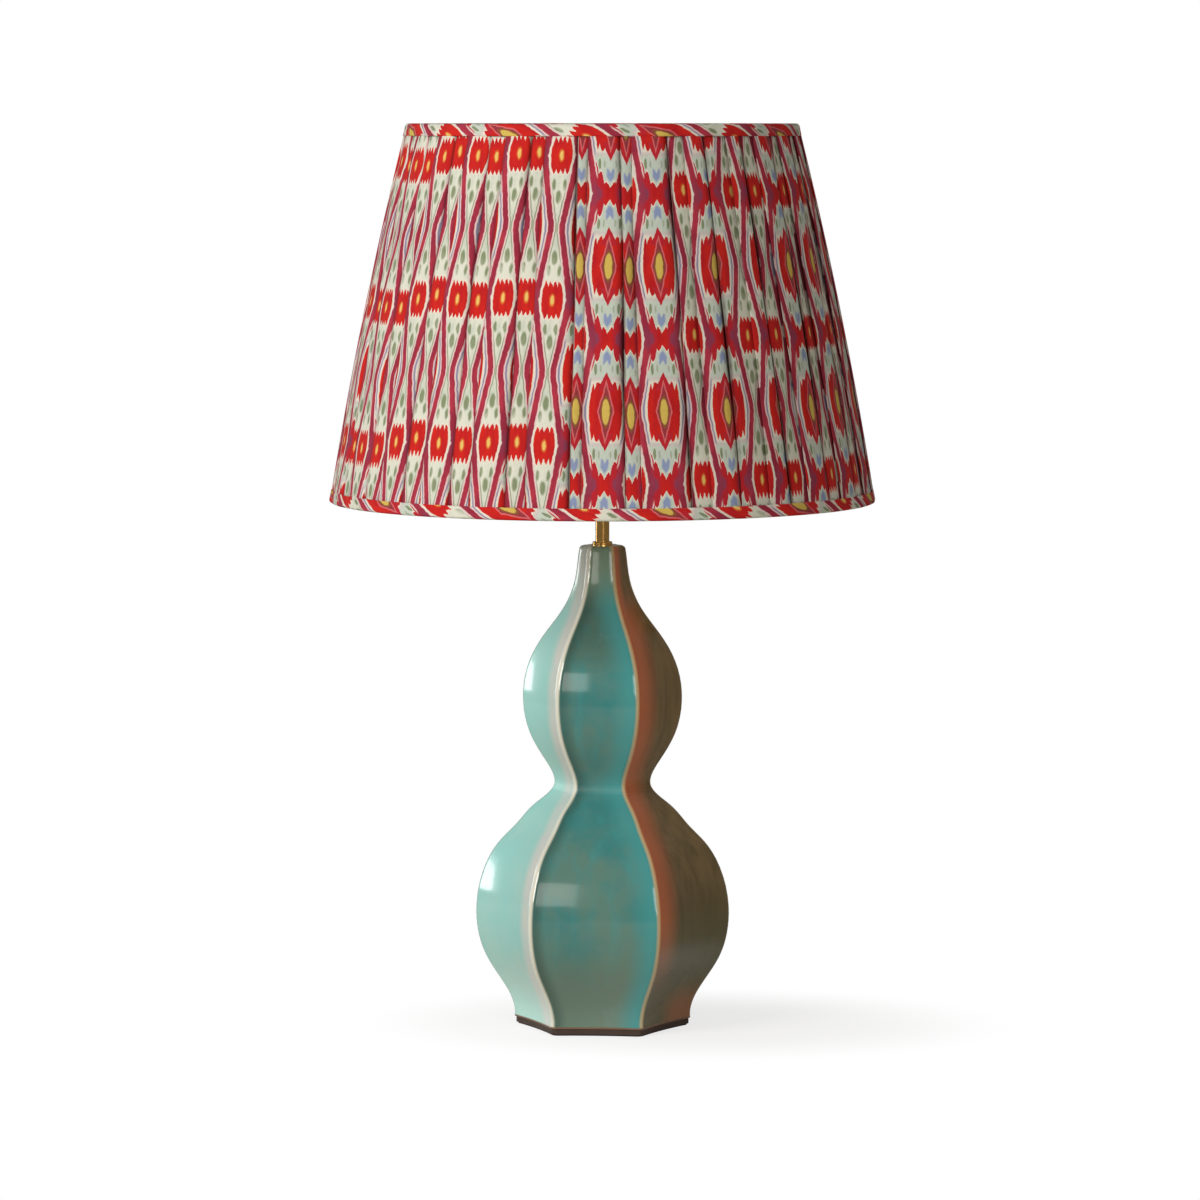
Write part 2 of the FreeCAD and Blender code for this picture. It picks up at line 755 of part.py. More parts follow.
def make_socket_cap():
    bowl = "cap_bowl"
    body = lathe("socket_cap", "holder_base", [
        ("pipe_radius + fit_gap", "0"),
        ("cap_hub_radius", "0"),
        ("cap_hub_radius", "cap_hub_height - sheet_thick", bowl),
        ("cap_radius", "cap_hub_height - sheet_thick + 0.85 * (cap_radius - cap_hub_radius)"),
        ("cap_radius", "cap_height"),
        ("cap_radius - sheet_thick", "cap_height"),
        ("cap_radius - sheet_thick", "cap_hub_height + 0.85 * (cap_radius - cap_hub_radius)", "-" + bowl),
        ("cap_hub_radius", "cap_hub_height"),
        ("pipe_radius + fit_gap", "cap_hub_height"),
    ])
    side_hole(body, "set_screw_hole", "set_screw_height", "set_screw_radius + fit_gap",
              "2 * cap_hub_radius", role="YZ_Plane", reversed_way=True)


def make_set_screw():
    body = lathe("socket_set_screw", "holder_base + set_screw_height", [
        ("0", "0"),
        ("set_screw_radius", "0"),
        ("set_screw_radius", "set_screw_length"),
        ("0", "set_screw_length"),
    ])
    body.Placement = FreeCAD.Placement(Vector(0, 0, 0), FreeCAD.Rotation(Vector(0, 1, 0), 90))
    bind(body, "Placement.Base.x", "pipe_radius + fit_gap")
    bind(body, "Placement.Base.z", "holder_base + set_screw_height")


def make_socket_shell():
    lift = "shaft_height - shell_start"
    body = lathe("socket_shell", "holder_base + shell_start", [
        ("shell_radius - sheet_thick", "0"),
        ("shell_radius", "0"),
        ("shell_radius", "shell_end - shell_start - sheet_thick", "sheet_thick"),
        ("shell_radius - sheet_thick", "shell_end - shell_start"),
    ])
    side_hole(body, "shell_hole", lift, "shaft_hole_radius", "2 * shell_radius")
    sleeve = ring("socket_insulator", "holder_base + shell_start", "insulator_radius - lining_thick",
                  "insulator_radius", "shell_end - shell_start + insulator_lip")
    side_hole(sleeve, "insulator_hole", lift, "shaft_hole_radius", "2 * shell_radius")


def make_switch_body():
    body = lathe("switch_body", "holder_base + switch_start", [
        ("0", "0"),
        ("switch_radius", "0"),
        ("switch_radius", "switch_end - switch_start"),
        ("0", "switch_end - switch_start"),
    ])
    bore = "shaft_radius + fit_gap"
    side_hole(body, "shaft_bore", "shaft_height - switch_start", bore, "2 * switch_radius")
    height = "(terminal_height - switch_start)"
    flats = new_sketch(body, "terminal_outline", "XZ_Plane")
    reach = "(terminal_head_radius + 2 * stack_gap)"
    low = "%s - %s" % (height, reach)
    high = "%s + %s" % (height, reach)
    for sign in ("-", ""):
        near = sign + "terminal_flat"
        far = sign + "(2 * switch_radius)"
        draw_outline(flats, [(near, low), (far, low), (far, high), (near, high)])
    pocket(body, "terminal_recesses", flats, "2 * " + reach, midplane=True)
    screws = new_sketch(body, "terminal_hole_outline", "YZ_Plane")
    draw_circle(screws, "0", height, "terminal_shank_radius + fit_gap")
    pocket(body, "terminal_holes", screws, "4 * switch_radius", midplane=True)


def make_terminal_screws():
    body = new_body("terminal_screws", "holder_base + terminal_height")
    outline = new_sketch(body, "terminal_screw_outline", "XZ_Plane")
    seat = "terminal_flat + fit_gap"
    draw_outline(outline, [
        (seat + " - terminal_shank", "0"),
        (seat + " + terminal_head_thick", "0"),
        (seat + " + terminal_head_thick", "terminal_head_radius"),
        (seat, "terminal_head_radius"),
        (seat, "terminal_shank_radius"),
        (seat + " - terminal_shank", "terminal_shank_radius"),
    ])
    turn = body.newObject("PartDesign::Revolution", "terminal_screw")
    turn.Profile = outline
    turn.ReferenceAxis = (outline, ["H_Axis"])
    turn.Angle = 360
    polar(body, "terminal_pair", turn, "2")


def make_switch():
    shaft = lathe("switch_shaft", "holder_base + shaft_height", [
        ("0", "0"),
        ("shaft_radius", "0"),
        ("shaft_radius", "knob_start + knob_length / 2 - shaft_start"),
        ("0", "knob_start + knob_length / 2 - shaft_start"),
    ])
    knob = lathe("switch_knob", "holder_base + shaft_height", [
        ("shaft_radius + fit_gap", "0"),
        ("knob_radius", "0"),
        ("knob_radius", "0.85 * knob_length", "0.15 * knob_length"),
        ("knob_radius - 0.15 * knob_length", "knob_length"),
        ("0", "knob_length"),
        ("0", "knob_length / 2 + stack_gap"),
        ("shaft_radius + fit_gap", "knob_length / 2 + stack_gap"),
    ])
    outline = new_sketch(knob, "flute_outline", "XY_Plane", "0.15 * knob_length")
    draw_circle(outline, "knob_radius + 0.3 * flute_radius", "0", "flute_radius")
    flute = pocket(knob, "flute", outline, "2 * knob_length", reversed_way=True)
    polar(knob, "flutes", flute, "flute_count")
    for body, start in ((shaft, "shaft_start"), (knob, "knob_start")):
        body.Placement = FreeCAD.Placement(Vector(0, 0, 0), FreeCAD.Rotation(Vector(1, 0, 0), 90))
        bind(body, "Placement.Base.y", "-" + start)
        bind(body, "Placement.Base.z", "holder_base + shaft_height")


def make_screw_shell():
    ring("screw_shell", "switch_top", "screw_shell_radius - screw_shell_thick",
         "screw_shell_radius", "screw_shell_length")
    lathe("centre_contact", "switch_top", [
        ("0", "0"),
        ("contact_radius", "0"),
        ("contact_radius", "0.35 * contact_thick"),
        ("0.6 * contact_radius", "contact_thick"),
        ("0", "contact_thick"),
    ])


# Bulb

def bulb_wall(inset, height):
    # Neck, hollow shoulder and round crown of the glass, from below
    centre = "bulb_length - bulb_radius"
    radius = "(bulb_radius - %s)" % inset
    return [
        ("bulb_neck_radius - %s" % inset, height),
        ("bulb_neck_radius - %s" % inset, "bulb_cap_top - bulb_neck_tuck + bulb_neck_length"),
        ("%s * cos(bulb_turn)" % radius, "%s - %s * sin(bulb_turn)" % (centre, radius)),
        ("0", "%s + %s" % (centre, radius)),
    ]


def make_bulb():
    start = "bulb_cap_top - bulb_neck_tuck"
    outer = bulb_wall("0", start)
    inner = bulb_wall("bulb_glass_thick", start)
    lathe("bulb_glass", "bulb_base", [
        outer[0],
        outer[1] + ("-bulb_neck_arc",),
        outer[2] + ("bulb_radius",),
        outer[3],
        inner[3] + ("-(bulb_radius - bulb_glass_thick)",),
        inner[2] + ("bulb_neck_arc + bulb_glass_thick",),
        inner[1],
        inner[0],
    ])
    ring("bulb_cap", "bulb_base + bulb_cap_base", "bulb_cap_radius - bulb_cap_thick",
         "bulb_cap_radius", "bulb_cap_length")
    lathe("bulb_insulator", "bulb_base + bulb_nub_thick", [
        ("0", "0"),
        ("1.25 * bulb_nub_radius", "0"),
        ("bulb_cap_radius - bulb_cap_thick - fit_gap", "bulb_base_thick"),
        ("bulb_cap_radius - bulb_cap_thick - fit_gap", "bulb_base_thick + bulb_base_edge"),
        ("0", "bulb_base_thick + bulb_base_edge"),
    ])
    lathe("bulb_contact", "bulb_base", [
        ("0", "0"),
        ("0.6 * bulb_nub_radius", "0"),
        ("bulb_nub_radius", "bulb_nub_thick"),
        ("0", "bulb_nub_thick"),
    ])


# Shade

def pleat_points(height, swell):
    # Knife pleats in pairs, a wide one and a narrow one: each face sinks from its crest to its
    # root, then a short steep return climbs to the next crest
    crest = "(%s + %s)" % (shade_cone(height, "crest_inset"), swell)
    root = "(%s - pleat_depth)" % crest
    pitch = "360 / pleat_count"
    points = []
    for number in range(round(value("pleat_count"))):
        for start, finish in (("0", "wide_share"), ("wide_share", "1")):
            crest_turn = "(%s * (%d + %s))" % (pitch, number, start)
            root_turn = "(%s * (%d + %s) - pleat_slant)" % (pitch, number, finish)
            points.append(("%s * cos(%s)" % (crest, crest_turn), "%s * sin(%s)" % (crest, crest_turn)))
            points.append(("%s * cos(%s)" % (root, root_turn), "%s * sin(%s)" % (root, root_turn)))
    return points


def make_shade_cover():
    body = new_body("shade_cover")
    # The cloth stands prouder towards the middle of its height than at the two bindings
    sections = []
    steps = 3
    for number in range(steps + 1):
        share = "%d / %d" % (number, steps)
        height = "(layer_bottom + (layer_top - layer_bottom) * %s)" % share
        swell = "cover_bulge * 4 * %s * (1 - %s)" % (share, share)
        sketch = new_sketch(body, "cover_%d" % number, "XY_Plane", height)
        draw_outline(sketch, pleat_points(height, swell))
        sections.append(sketch)
    cloth = body.newObject("PartDesign::AdditiveLoft", "pleats")
    cloth.Profile = sections[0]
    cloth.Sections = sections[1:]
    cloth.Ruled = True
    doc.recompute()
    inside = new_sketch(body, "cover_inside", "XZ_Plane")
    below, above = "layer_bottom - 1", "layer_top + 1"
    draw_outline(inside, [
        ("0", below),
        (shade_cone(below, "cover_inset"), below),
        (shade_cone(above, "cover_inset"), above),
        ("0", above),
    ])
    core = body.newObject("PartDesign::Groove", "cover_hollow")
    core.Profile = inside
    core.ReferenceAxis = (inside, ["V_Axis"])
    core.Angle = 360


def cone_band(label, inner, outer, bottom, top):
    lathe(label, "0", [
        (shade_cone(bottom, inner), bottom),
        (shade_cone(bottom, outer), bottom),
        (shade_cone(top, outer), top),
        (shade_cone(top, inner), top),
    ])


def binding(label, rim, sign, turn_in):
    # Folded strip over a rim: outer leg, bridge and a shorter inner leg
    floor = "%s %s binding_thick" % (rim, sign)
    outer_edge = "%s %s binding_width" % (rim, sign)
    inner_edge = "%s %s %s" % (rim, sign, turn_in)
    points = [
        (shade_cone(outer_edge, "0"), outer_edge),
        (shade_cone(rim, "0"), rim),
        (shade_cone(rim, "turn_in_inset + binding_thick"), rim),
        (shade_cone(inner_edge, "turn_in_inset + binding_thick"), inner_edge),
        (shade_cone(inner_edge, "turn_in_inset"), inner_edge),
        (shade_cone(floor, "turn_in_inset"), floor),
        (shade_cone(floor, "binding_thick"), floor),
        (shade_cone(outer_edge, "binding_thick"), outer_edge),
    ]
    lathe(label, "0", points)


def frame_ring(label, height):
    body = new_body(label, height)
    outline = new_sketch(body, label + "_outline", "XZ_Plane")
    draw_circle(outline, shade_cone(height, "ring_inset"), "0", "ring_wire_radius")
    turn = body.newObject("PartDesign::Revolution", label + "_wire")
    turn.Profile = outline
    turn.ReferenceAxis = (outline, ["V_Axis"])
    turn.Angle = 360


def make_spider():
    ring("spider_hub", "hub_base", "hub_hole_radius", "hub_radius", "hub_thick")
    body = new_body("spider_arms", "hub_middle")
    path = new_sketch(body, "arm_path", "XZ_Plane")
    draw_bent_path(path, [
        ("arm_inner_radius", "0"),
        ("arm_knee_radius", "0"),
        (shade_cone("top_ring_height", "ring_inset"), "top_ring_height - hub_middle"),
    ], ["arm_bend"])
    profile = new_sketch(body, "arm_profile", "YZ_Plane", "arm_inner_radius")
    draw_circle(profile, "0", "0", "arm_wire_radius")
    arm = wire_along(body, "arm", profile, path)
    polar(body, "arms", arm, "3")
    body.Placement = FreeCAD.Placement(Vector(0, 0, 0), FreeCAD.Rotation(Vector(0, 0, 1), 90))
    bind(body, "Placement.Base.z", "hub_middle")


def make_shade():
    make_shade_cover()
    cone_band("shade_lining", "card_inset + card_thick", "card_inset", "layer_bottom", "layer_top")
    binding("top_binding", "total_height", "-", "top_turn_in")
    binding("bottom_binding", "shade_bottom_height", "+", "bottom_turn_in")
    frame_ring("shade_top_ring", "top_ring_height")
    frame_ring("shade_bottom_ring", "bottom_ring_height")
    make_spider()


def build():
    fill_sheet()
    make_felt_pad()
    make_base_plate()
    make_gourd_body()
    make_cord_grommet()
    make_stem()
    make_harp_saddle()
    make_harp_wire()
    make_harp_stud()
    make_harp_sleeve("harp_sleeve_left", "-")
    make_harp_sleeve("harp_sleeve_right", "")
    make_finial()
    make_socket_cap()
    make_set_screw()
    make_socket_shell()
    make_switch_body()
    make_terminal_screws()
    make_switch()
    make_screw_shell()
    make_bulb()
    make_shade()
    doc.recompute()


def export():
    broken = [item.Label for item in doc.Objects if "Invalid" in item.State or "Error" in item.State]
    broken += [body.Label for body in sub_parts if body.Shape.isNull() or not body.Shape.isValid()]
    if broken:
        raise ValueError("failed: " + ", ".join(broken))
    os.makedirs("parts", exist_ok=True)
    for body in sub_parts:
        body.Shape.exportStep("parts/%s.step" % body.Label)
        print(body.Label, len(body.Shape.Solids), "solids", round(body.Shape.Volume, 1), "mm3")


build()
export()
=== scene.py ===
import bpy
import json
import math
import numpy as np
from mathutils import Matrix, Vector


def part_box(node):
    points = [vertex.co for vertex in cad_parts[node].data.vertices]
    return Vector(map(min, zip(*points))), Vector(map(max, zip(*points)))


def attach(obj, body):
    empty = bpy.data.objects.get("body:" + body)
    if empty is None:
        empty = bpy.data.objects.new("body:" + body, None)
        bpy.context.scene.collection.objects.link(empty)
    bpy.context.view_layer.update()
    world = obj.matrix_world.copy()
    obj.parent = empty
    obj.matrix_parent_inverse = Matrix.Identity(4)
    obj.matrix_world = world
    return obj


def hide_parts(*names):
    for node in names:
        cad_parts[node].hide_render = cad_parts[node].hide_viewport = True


# Double gourd lamp: a pleated printed shade over a glazed six-sided body, in a plain studio.
# Metres, +Z up. Azimuth runs from the front (-Y) towards the right (+X).

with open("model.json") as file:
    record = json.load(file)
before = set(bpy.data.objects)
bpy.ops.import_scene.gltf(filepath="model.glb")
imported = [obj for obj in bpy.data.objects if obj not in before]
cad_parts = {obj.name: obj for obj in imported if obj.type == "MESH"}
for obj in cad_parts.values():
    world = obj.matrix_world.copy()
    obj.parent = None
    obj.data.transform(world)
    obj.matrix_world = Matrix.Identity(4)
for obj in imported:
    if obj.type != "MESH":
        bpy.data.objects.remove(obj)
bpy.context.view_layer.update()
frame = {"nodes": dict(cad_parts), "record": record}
print("frame loaded", len(frame["nodes"]), "nodes")

millimetre = 0.001


def rgb(red, green, blue):
    # a screen colour from 0 to 255, made linear
    return tuple(((c / 255 + 0.055) / 1.055) ** 2.4 if c > 10 else c / 255 / 12.92
                 for c in (red, green, blue)) + (1.0,)


white = rgb(255, 255, 255)


def plug(tree, pin, term):
    # a link where the term is a socket or a Value, else a fixed number or colour
    if isinstance(term, Value):
        tree.links.new(term.socket, pin)
    elif isinstance(term, bpy.types.NodeSocket):
        tree.links.new(term, pin)
    else:
        pin.default_value = term


class Value:
    # a number that changes over a surface; arithmetic on it adds Math nodes
    def __init__(self, tree, socket):
        self.tree = tree
        self.socket = socket

    def maths(self, operation, *terms):
        node = self.tree.nodes.new("ShaderNodeMath")
        node.operation = operation
        for pin, term in zip(node.inputs, terms):
            plug(self.tree, pin, term)
        return Value(self.tree, node.outputs[0])

    def __add__(self, other):
        return self.maths("ADD", self, other)

    def __radd__(self, other):
        return self.maths("ADD", other, self)

    def __sub__(self, other):
        return self.maths("SUBTRACT", self, other)

    def __rsub__(self, other):
        return self.maths("SUBTRACT", other, self)

    def __mul__(self, other):
        return self.maths("MULTIPLY", self, other)

    def __rmul__(self, other):
        return self.maths("MULTIPLY", other, self)

    def __truediv__(self, other):
        return self.maths("DIVIDE", self, other)

    def __pow__(self, other):
        return self.maths("POWER", self, other)

    def __abs__(self):
        return self.maths("ABSOLUTE", self)

    def least(self, other):
        return self.maths("MINIMUM", self, other)

    def most(self, other):
        return self.maths("MAXIMUM", self, other)

    def bounce(self, reach):
        # runs 0 up to reach and back again, over and over
        return self.maths("PINGPONG", self, reach)

    def wave(self):
        return self.maths("SINE", self)

    def rise(self, low, high, way="SMOOTHSTEP"):
        # from 0 at low to 1 at high, smooth unless another way is named
        node = self.tree.nodes.new("ShaderNodeMapRange")
        node.interpolation_type = way
        for pin, term in zip(node.inputs, (self, low, high, 0.0, 1.0)):
            plug(self.tree, pin, term)
        return Value(self.tree, node.outputs[0])

    def grow(self, change):
        # from 0 where the change begins to its share where it ends
        begin, end, share = change
        return self.rise(begin, end) * share

    def fade(self, change):
        # from the share where the change begins to 0 where it ends
        begin, end, share = change
        return (1.0 - self.rise(begin, end)) * share

    def inside(self, soft):
        # 1 where the value is under zero, fading over twice the soft width
        return 1.0 - self.rise(-soft, soft)

    def within(self, edge):
        # 1 short of the edge's reach, fading over twice its soft width
        reach, soft = edge
        return (self - reach).inside(soft)


class Finish:
    # one material on the Principled shader
    def __init__(self, name, settings):
        self.material = bpy.data.materials.new(name)
        self.material.use_nodes = True
        self.tree = self.material.node_tree
        self.shader = self.tree.nodes["Principled BSDF"]
        for pin, term in settings.items():
            self.shader.inputs[pin].default_value = term

    def node(self, kind, settings=None, inputs=None):
        made = self.tree.nodes.new("ShaderNode" + kind)
        for key, choice in (settings or {}).items():
            setattr(made, key, choice)
        for pin, term in (inputs or {}).items():
            plug(self.tree, made.inputs[pin], term)
        return made

    def place(self):
        # the object coordinates as one vector
        return self.node("TexCoord").outputs["Object"]

    def split(self, vector):
        # a vector's three parts as values
        parts = self.node("SeparateXYZ", inputs={0: vector}).outputs
        return tuple(Value(self.tree, part) for part in parts)

    def join(self, x, y, z):
        return self.node("CombineXYZ", inputs={0: x, 1: y, 2: z}).outputs[0]

    def noise(self, vector, scale, detail, roughness=0.5):
        made = self.node("TexNoise", inputs={"Vector": vector, "Scale": scale, "Detail": detail,
                                             "Roughness": roughness})
        return Value(self.tree, made.outputs[0])

    def mix(self, share, first, second, blend="MIX"):
        # a colour Mix node; its sockets share their names with those for numbers, so they go by place
        made = self.node("Mix", {"data_type": "RGBA", "blend_type": blend},
                         {0: share, 6: first, 7: second})
        return made.outputs[2]

    def bump(self, height, distance, strength):
        # height from 0 to 1 times the distance in metres
        made = self.node("Bump", inputs={"Height": height, "Distance": distance, "Strength": strength})
        self.tree.links.new(made.outputs[0], self.shader.inputs["Normal"])

    def drive(self, pin, term):
        plug(self.tree, self.shader.inputs[pin], term)


# The print: a resist-dyed cloth with columns of small medallions and columns of tall ovals.
# Distances are in millimetres on the flat cloth; a is measured from the medallion column,
# b from the medallion row, c from the oval column and m from the oval row. The tuples are:
# grain: the noise's scale across and along, its layer, its detail and its roughness;
# change: where it begins, where it ends and its share, which may be a length;
# edge: its reach and its softness; teeth: their shift, half their pitch and how pointed they are;
# motif: its place across and along, its half width, its half height and its softness.
printSet = {
    "columnPitch": 25.2,
    "rowPitch": 57.7,
    "soft": 0.3,
    # grains, and how far they move the print
    "streak": (0.9, 0.02, 0.0, 2.0, 0.6),
    "drift": (0.05, 0.06, 3.0, 1.0, 0.5),
    "sway": (0.03, 0.2, 7.0, 2.0, 0.5),
    "patch": (0.12, 0.04, 1.0, 3.0, 0.5),
    "streakMove": 2.4,
    "driftMove": 2.4,
    "swayMove": 1.5,
    # changes that follow the patches
    "groundPatch": (0.42, 0.75, 1.0),
    "dropPatch": (0.2, 0.5, 1.0),
    "redPatch": (0.35, 0.7, 1.0),
    "stripePatch": (0.4, 0.65, 1.0),
    # the stripe between the columns
    "stripeFar": 12.9,
    "stripeMove": 8.3,
    "stripeRun": (6.0, 55.0),    # where its straight run begins and ends
    "stripeHalf": 2.35,
    "stripeSwell": (8.0, 20.0, 0.5),
    "stripeMauve": (4.0, 12.0, 0.6),
    "stripeBorder": 1.2,
    "borderStart": (14.0, 3.0),
    "sideSoft": 0.2,
    "cornerFar": 11.5,
    "cornerSlope": 0.45,
    "cornerStart": 7.0,
    "cornerSoft": 0.4,
    "cornerEnd": (9.0, 0.5),
    # the medallion column between two medallions
    "pinchEnd": (14.0, 9.0),
    "pinchShare": 0.7,
    "pinchLineFar": 4.0,
    "pinchLine": (0.5, 0.3),
    "pinchLineEnd": (27.0, 8.0),
    "pinchLineShare": 0.9,
    "smallDrop": (4.3, 23.5, 1.5, 4.4, 0.65),
    "tallDrop": (0.0, 33.5, 2.4, 5.4, 0.55),
    # the flame and the leaves beside it
    "flameGroundEnd": (31.0, 4.0),
    "flameHalf": (8.0, 14.5, 3.1),
    "flameSoft": 0.9,
    "flameStart": (7.5, 11.0, 1.0),
    "flameEnd": 20.0,
    "prongHalf": 1.8,
    "prongNotch": 3.2,
    "prongSoft": 1.3,
    "outerLeaf": (8.6, 24.0, 1.1, 4.3, 0.3),
    "innerLeaf": (4.6, 23.5, 0.8, 3.2, 0.3),
    "innerLeafShare": 0.5,
    # the oval, from outside in
    "ovalHalf": 13.2,
    "ovalTaper": 2.4,
    "ovalHeight": 22.0,
    "besideEnd": (26.0, 3.0),
    "outerBand": (0.78, 0.1),
    "innerBand": (0.42, 0.1),
    "ovalEnd": 23.6,
    "ovalTeeth": (1.3, 2.6, 2.2),
    "ovalTooth": 6.0,
    "ovalRagged": 3.0,
    "tip": (0.0, 19.0, 6.0, 12.5, 0.05),
    "tipStart": (16.0, 18.0, 1.0),
    "outerLozenge": (0.0, 0.0, 6.8, 25.5, 0.04),
    "innerLozenge": (0.0, 0.0, 5.6, 21.5, 0.05),
    "lens": (0.0, 0.0, 4.4, 13.2, 0.1),
    "lensPower": 1.5,
    "core": (0.0, 0.0, 3.0, 10.2, 0.14),
    # the crossing at the medallion row
    "armHalf": 4.6,
    "armSlope": 1.75,
    "armTeeth": (0.2, 2.4, 2.2),
    "armTooth": (1.5, 4.0, 5.0),
    "armRagged": 2.5,
    "armBorder": 1.5,
    "lobe": (10.2, 0.0, 3.8, 5.5, 0.5),
    "middle": (4.2, 1.6),
    # the medallion
    "medallionHalf": 8.7,
    "medallionTaper": 2.5,
    "medallionHeight": 14.6,
    "medallionUneven": 1.6,
    "medallionDrift": 3.0,
    "medallionTeeth": (0.0, 1.9, 1.6),
    "medallionTooth": 4.4,
    "medallionRagged": 6.0,
    "medallionBorder": 1.8,
    "medallionEnd": 15.0,
    "medallionBorderEnd": 16.4,
    "eye": (0.0, 0.0, 2.3, 5.0, 0.5),
    "pupil": (0.0, 0.0, 1.4, 3.7, 0.4),
    # dyes
    "ground": rgb(231, 231, 214),
    "groundShade": rgb(206, 213, 196),
    "flameGround": rgb(206, 216, 202),
    "red": rgb(218, 32, 22),
    "redDeep": rgb(194, 20, 28),
    "crimson": rgb(196, 34, 48),
    "maroon": rgb(158, 42, 66),
    "rose": rgb(186, 52, 72),
    "pink": rgb(238, 208, 204),
    "cream": rgb(240, 230, 214),
    "mauve": rgb(150, 60, 88),
    "lavender": rgb(146, 142, 172),
    "flame": rgb(148, 162, 200),
    "sage": rgb(138, 150, 114),
    "pinkLine": rgb(222, 110, 112),
    "yellow": rgb(224, 192, 92),
    "gold": rgb(244, 202, 112),
    "orange": rgb(228, 112, 44),
    "olive": rgb(146, 88, 54),
    "plum": rgb(158, 54, 64),
}


def flatNoise(finish, across, along, grain):
    # noise over the flat cloth
    wide, tall, layer, detail, roughness = grain
    return finish.noise(finish.join(across * wide, along * tall, layer), 1.0, detail, roughness)


def ikatColour(finish, across, along):
    # paints the print over two flat coordinates and gives the colour socket
    s = printSet
    soft = s["soft"]
    streak = flatNoise(finish, across, along, s["streak"])
    drift = flatNoise(finish, across, along, s["drift"])
    sway = flatNoise(finish, across, along, s["sway"])
    patch = flatNoise(finish, across, along, s["patch"])
    along = along + (streak - 0.5) * s["streakMove"] + (drift - 0.5) * s["driftMove"]
    across = across + (sway - 0.5) * s["swayMove"]
    a = across.bounce(s["columnPitch"])
    b = along.bounce(s["rowPitch"])
    c = s["columnPitch"] - a
    m = s["rowPitch"] - b
    colour = finish.mix(patch.grow(s["groundPatch"]), s["ground"], s["groundShade"])

    def paint(mask, dye):
        # the dye is one of the settings, or a socket with a colour mixed before
        nonlocal colour
        colour = finish.mix(mask, colour, s[dye] if isinstance(dye, str) else dye)

    def ellipse(x, y, motif, power=2.0):
        placeX, placeY, halfWidth, halfHeight, fade = motif
        wide = (abs(x - placeX) / halfWidth) ** power
        tall = (abs(y - placeY) / halfHeight) ** power
        return (wide + tall - 1.0).inside(fade)

    def lozenge(x, y, motif):
        placeX, placeY, halfWidth, halfHeight, fade = motif
        return ((x - placeX) / halfWidth + (y - placeY) / halfHeight - 1.0).inside(fade)

    def teeth(x, comb):
        # 1 at the points and 0 half way between them
        shift, halfPitch, power = comb
        return (1.0 - (x + shift).bounce(halfPitch) / halfPitch) ** power

    # the stripe between the columns runs straight from beside the medallions to beside the ovals
    stripePlace = s["stripeFar"] - s["stripeMove"] * b.rise(*s["stripeRun"], "LINEAR")
    fromStripe = a - stripePlace
    edge = abs(fromStripe)
    ovalSide = fromStripe.rise(-s["sideSoft"], s["sideSoft"])

    # the medallion column: two small drops, a tall one beyond them and thin lines at the pinch
    paint(m.within(s["pinchEnd"]) * (1.0 - ovalSide) * s["pinchShare"], "groundShade")
    drops = ellipse(a, b, s["smallDrop"]).most(ellipse(a, b, s["tallDrop"]))
    paint(drops * patch.grow(s["dropPatch"]), "sage")
    pinchLine = abs(fromStripe + s["pinchLineFar"]).within(s["pinchLine"])
    paint(pinchLine * m.within(s["pinchLineEnd"]) * s["pinchLineShare"], "sage")

    # the oval column's ground, its flame with two prongs and the thin leaves beside it
    paint(ovalSide * b.within(s["flameGroundEnd"]), "flameGround")
    prongs = b - s["flameEnd"] + (1.0 - c / s["prongHalf"]).most(0.0) * s["prongNotch"]
    flame = (c - b.grow(s["flameHalf"])).inside(s["flameSoft"])
    paint(flame * prongs.inside(s["prongSoft"]) * b.grow(s["flameStart"]), "flame")
    paint(ellipse(c, b, s["outerLeaf"]) + ellipse(c, b, s["innerLeaf"]) * s["innerLeafShare"], "sage")

    # bands beside the oval, the oval's red body with its combed ends, and its middle
    halfOval = s["ovalHalf"] - s["ovalTaper"] * (m / s["ovalHeight"]) ** 2.0
    stripeSide = s["columnPitch"] - s["stripeHalf"] - stripePlace
    band = (c - halfOval) / (stripeSide - halfOval)
    beside = ovalSide * m.within(s["besideEnd"])
    paint(beside, "pink")
    paint(beside * band.within(s["outerBand"]), "lavender")
    paint(beside * band.within(s["innerBand"]), "cream")
    redCloth = finish.mix(patch.grow(s["redPatch"]), s["red"], s["redDeep"])
    comb = teeth(c, s["ovalTeeth"]) * s["ovalTooth"]
    pastEnd = m - s["ovalEnd"] + comb + (streak - 0.5) * s["ovalRagged"]
    paint((c - halfOval).inside(soft) * pastEnd.inside(soft * 2), redCloth)
    paint(lozenge(c, m, s["tip"]) * m.grow(s["tipStart"]), "crimson")
    paint(lozenge(c, m, s["outerLozenge"]), "pinkLine")
    paint(lozenge(c, m, s["innerLozenge"]), "plum")
    paint(ellipse(c, m, s["lens"], s["lensPower"]), "olive")
    paint(ellipse(c, m, s["core"]), "yellow")

    # the crossing at the medallion row: a red middle, mauve lobes and combed arms
    slit = teeth(c, s["armTeeth"]) * c.grow(s["armTooth"])
    pastArm = b - s["armHalf"] - s["armSlope"] * c + slit + (streak - 0.5) * s["armRagged"]
    arm = pastArm.inside(soft)
    paint(ovalSide * (pastArm - s["armBorder"]).inside(soft), "cream")
    crossing = finish.mix(ellipse(c, b, s["lobe"]), s["crimson"], s["mauve"])
    paint(ovalSide * arm, crossing)
    paint(c.within(s["middle"]) * arm, redCloth)

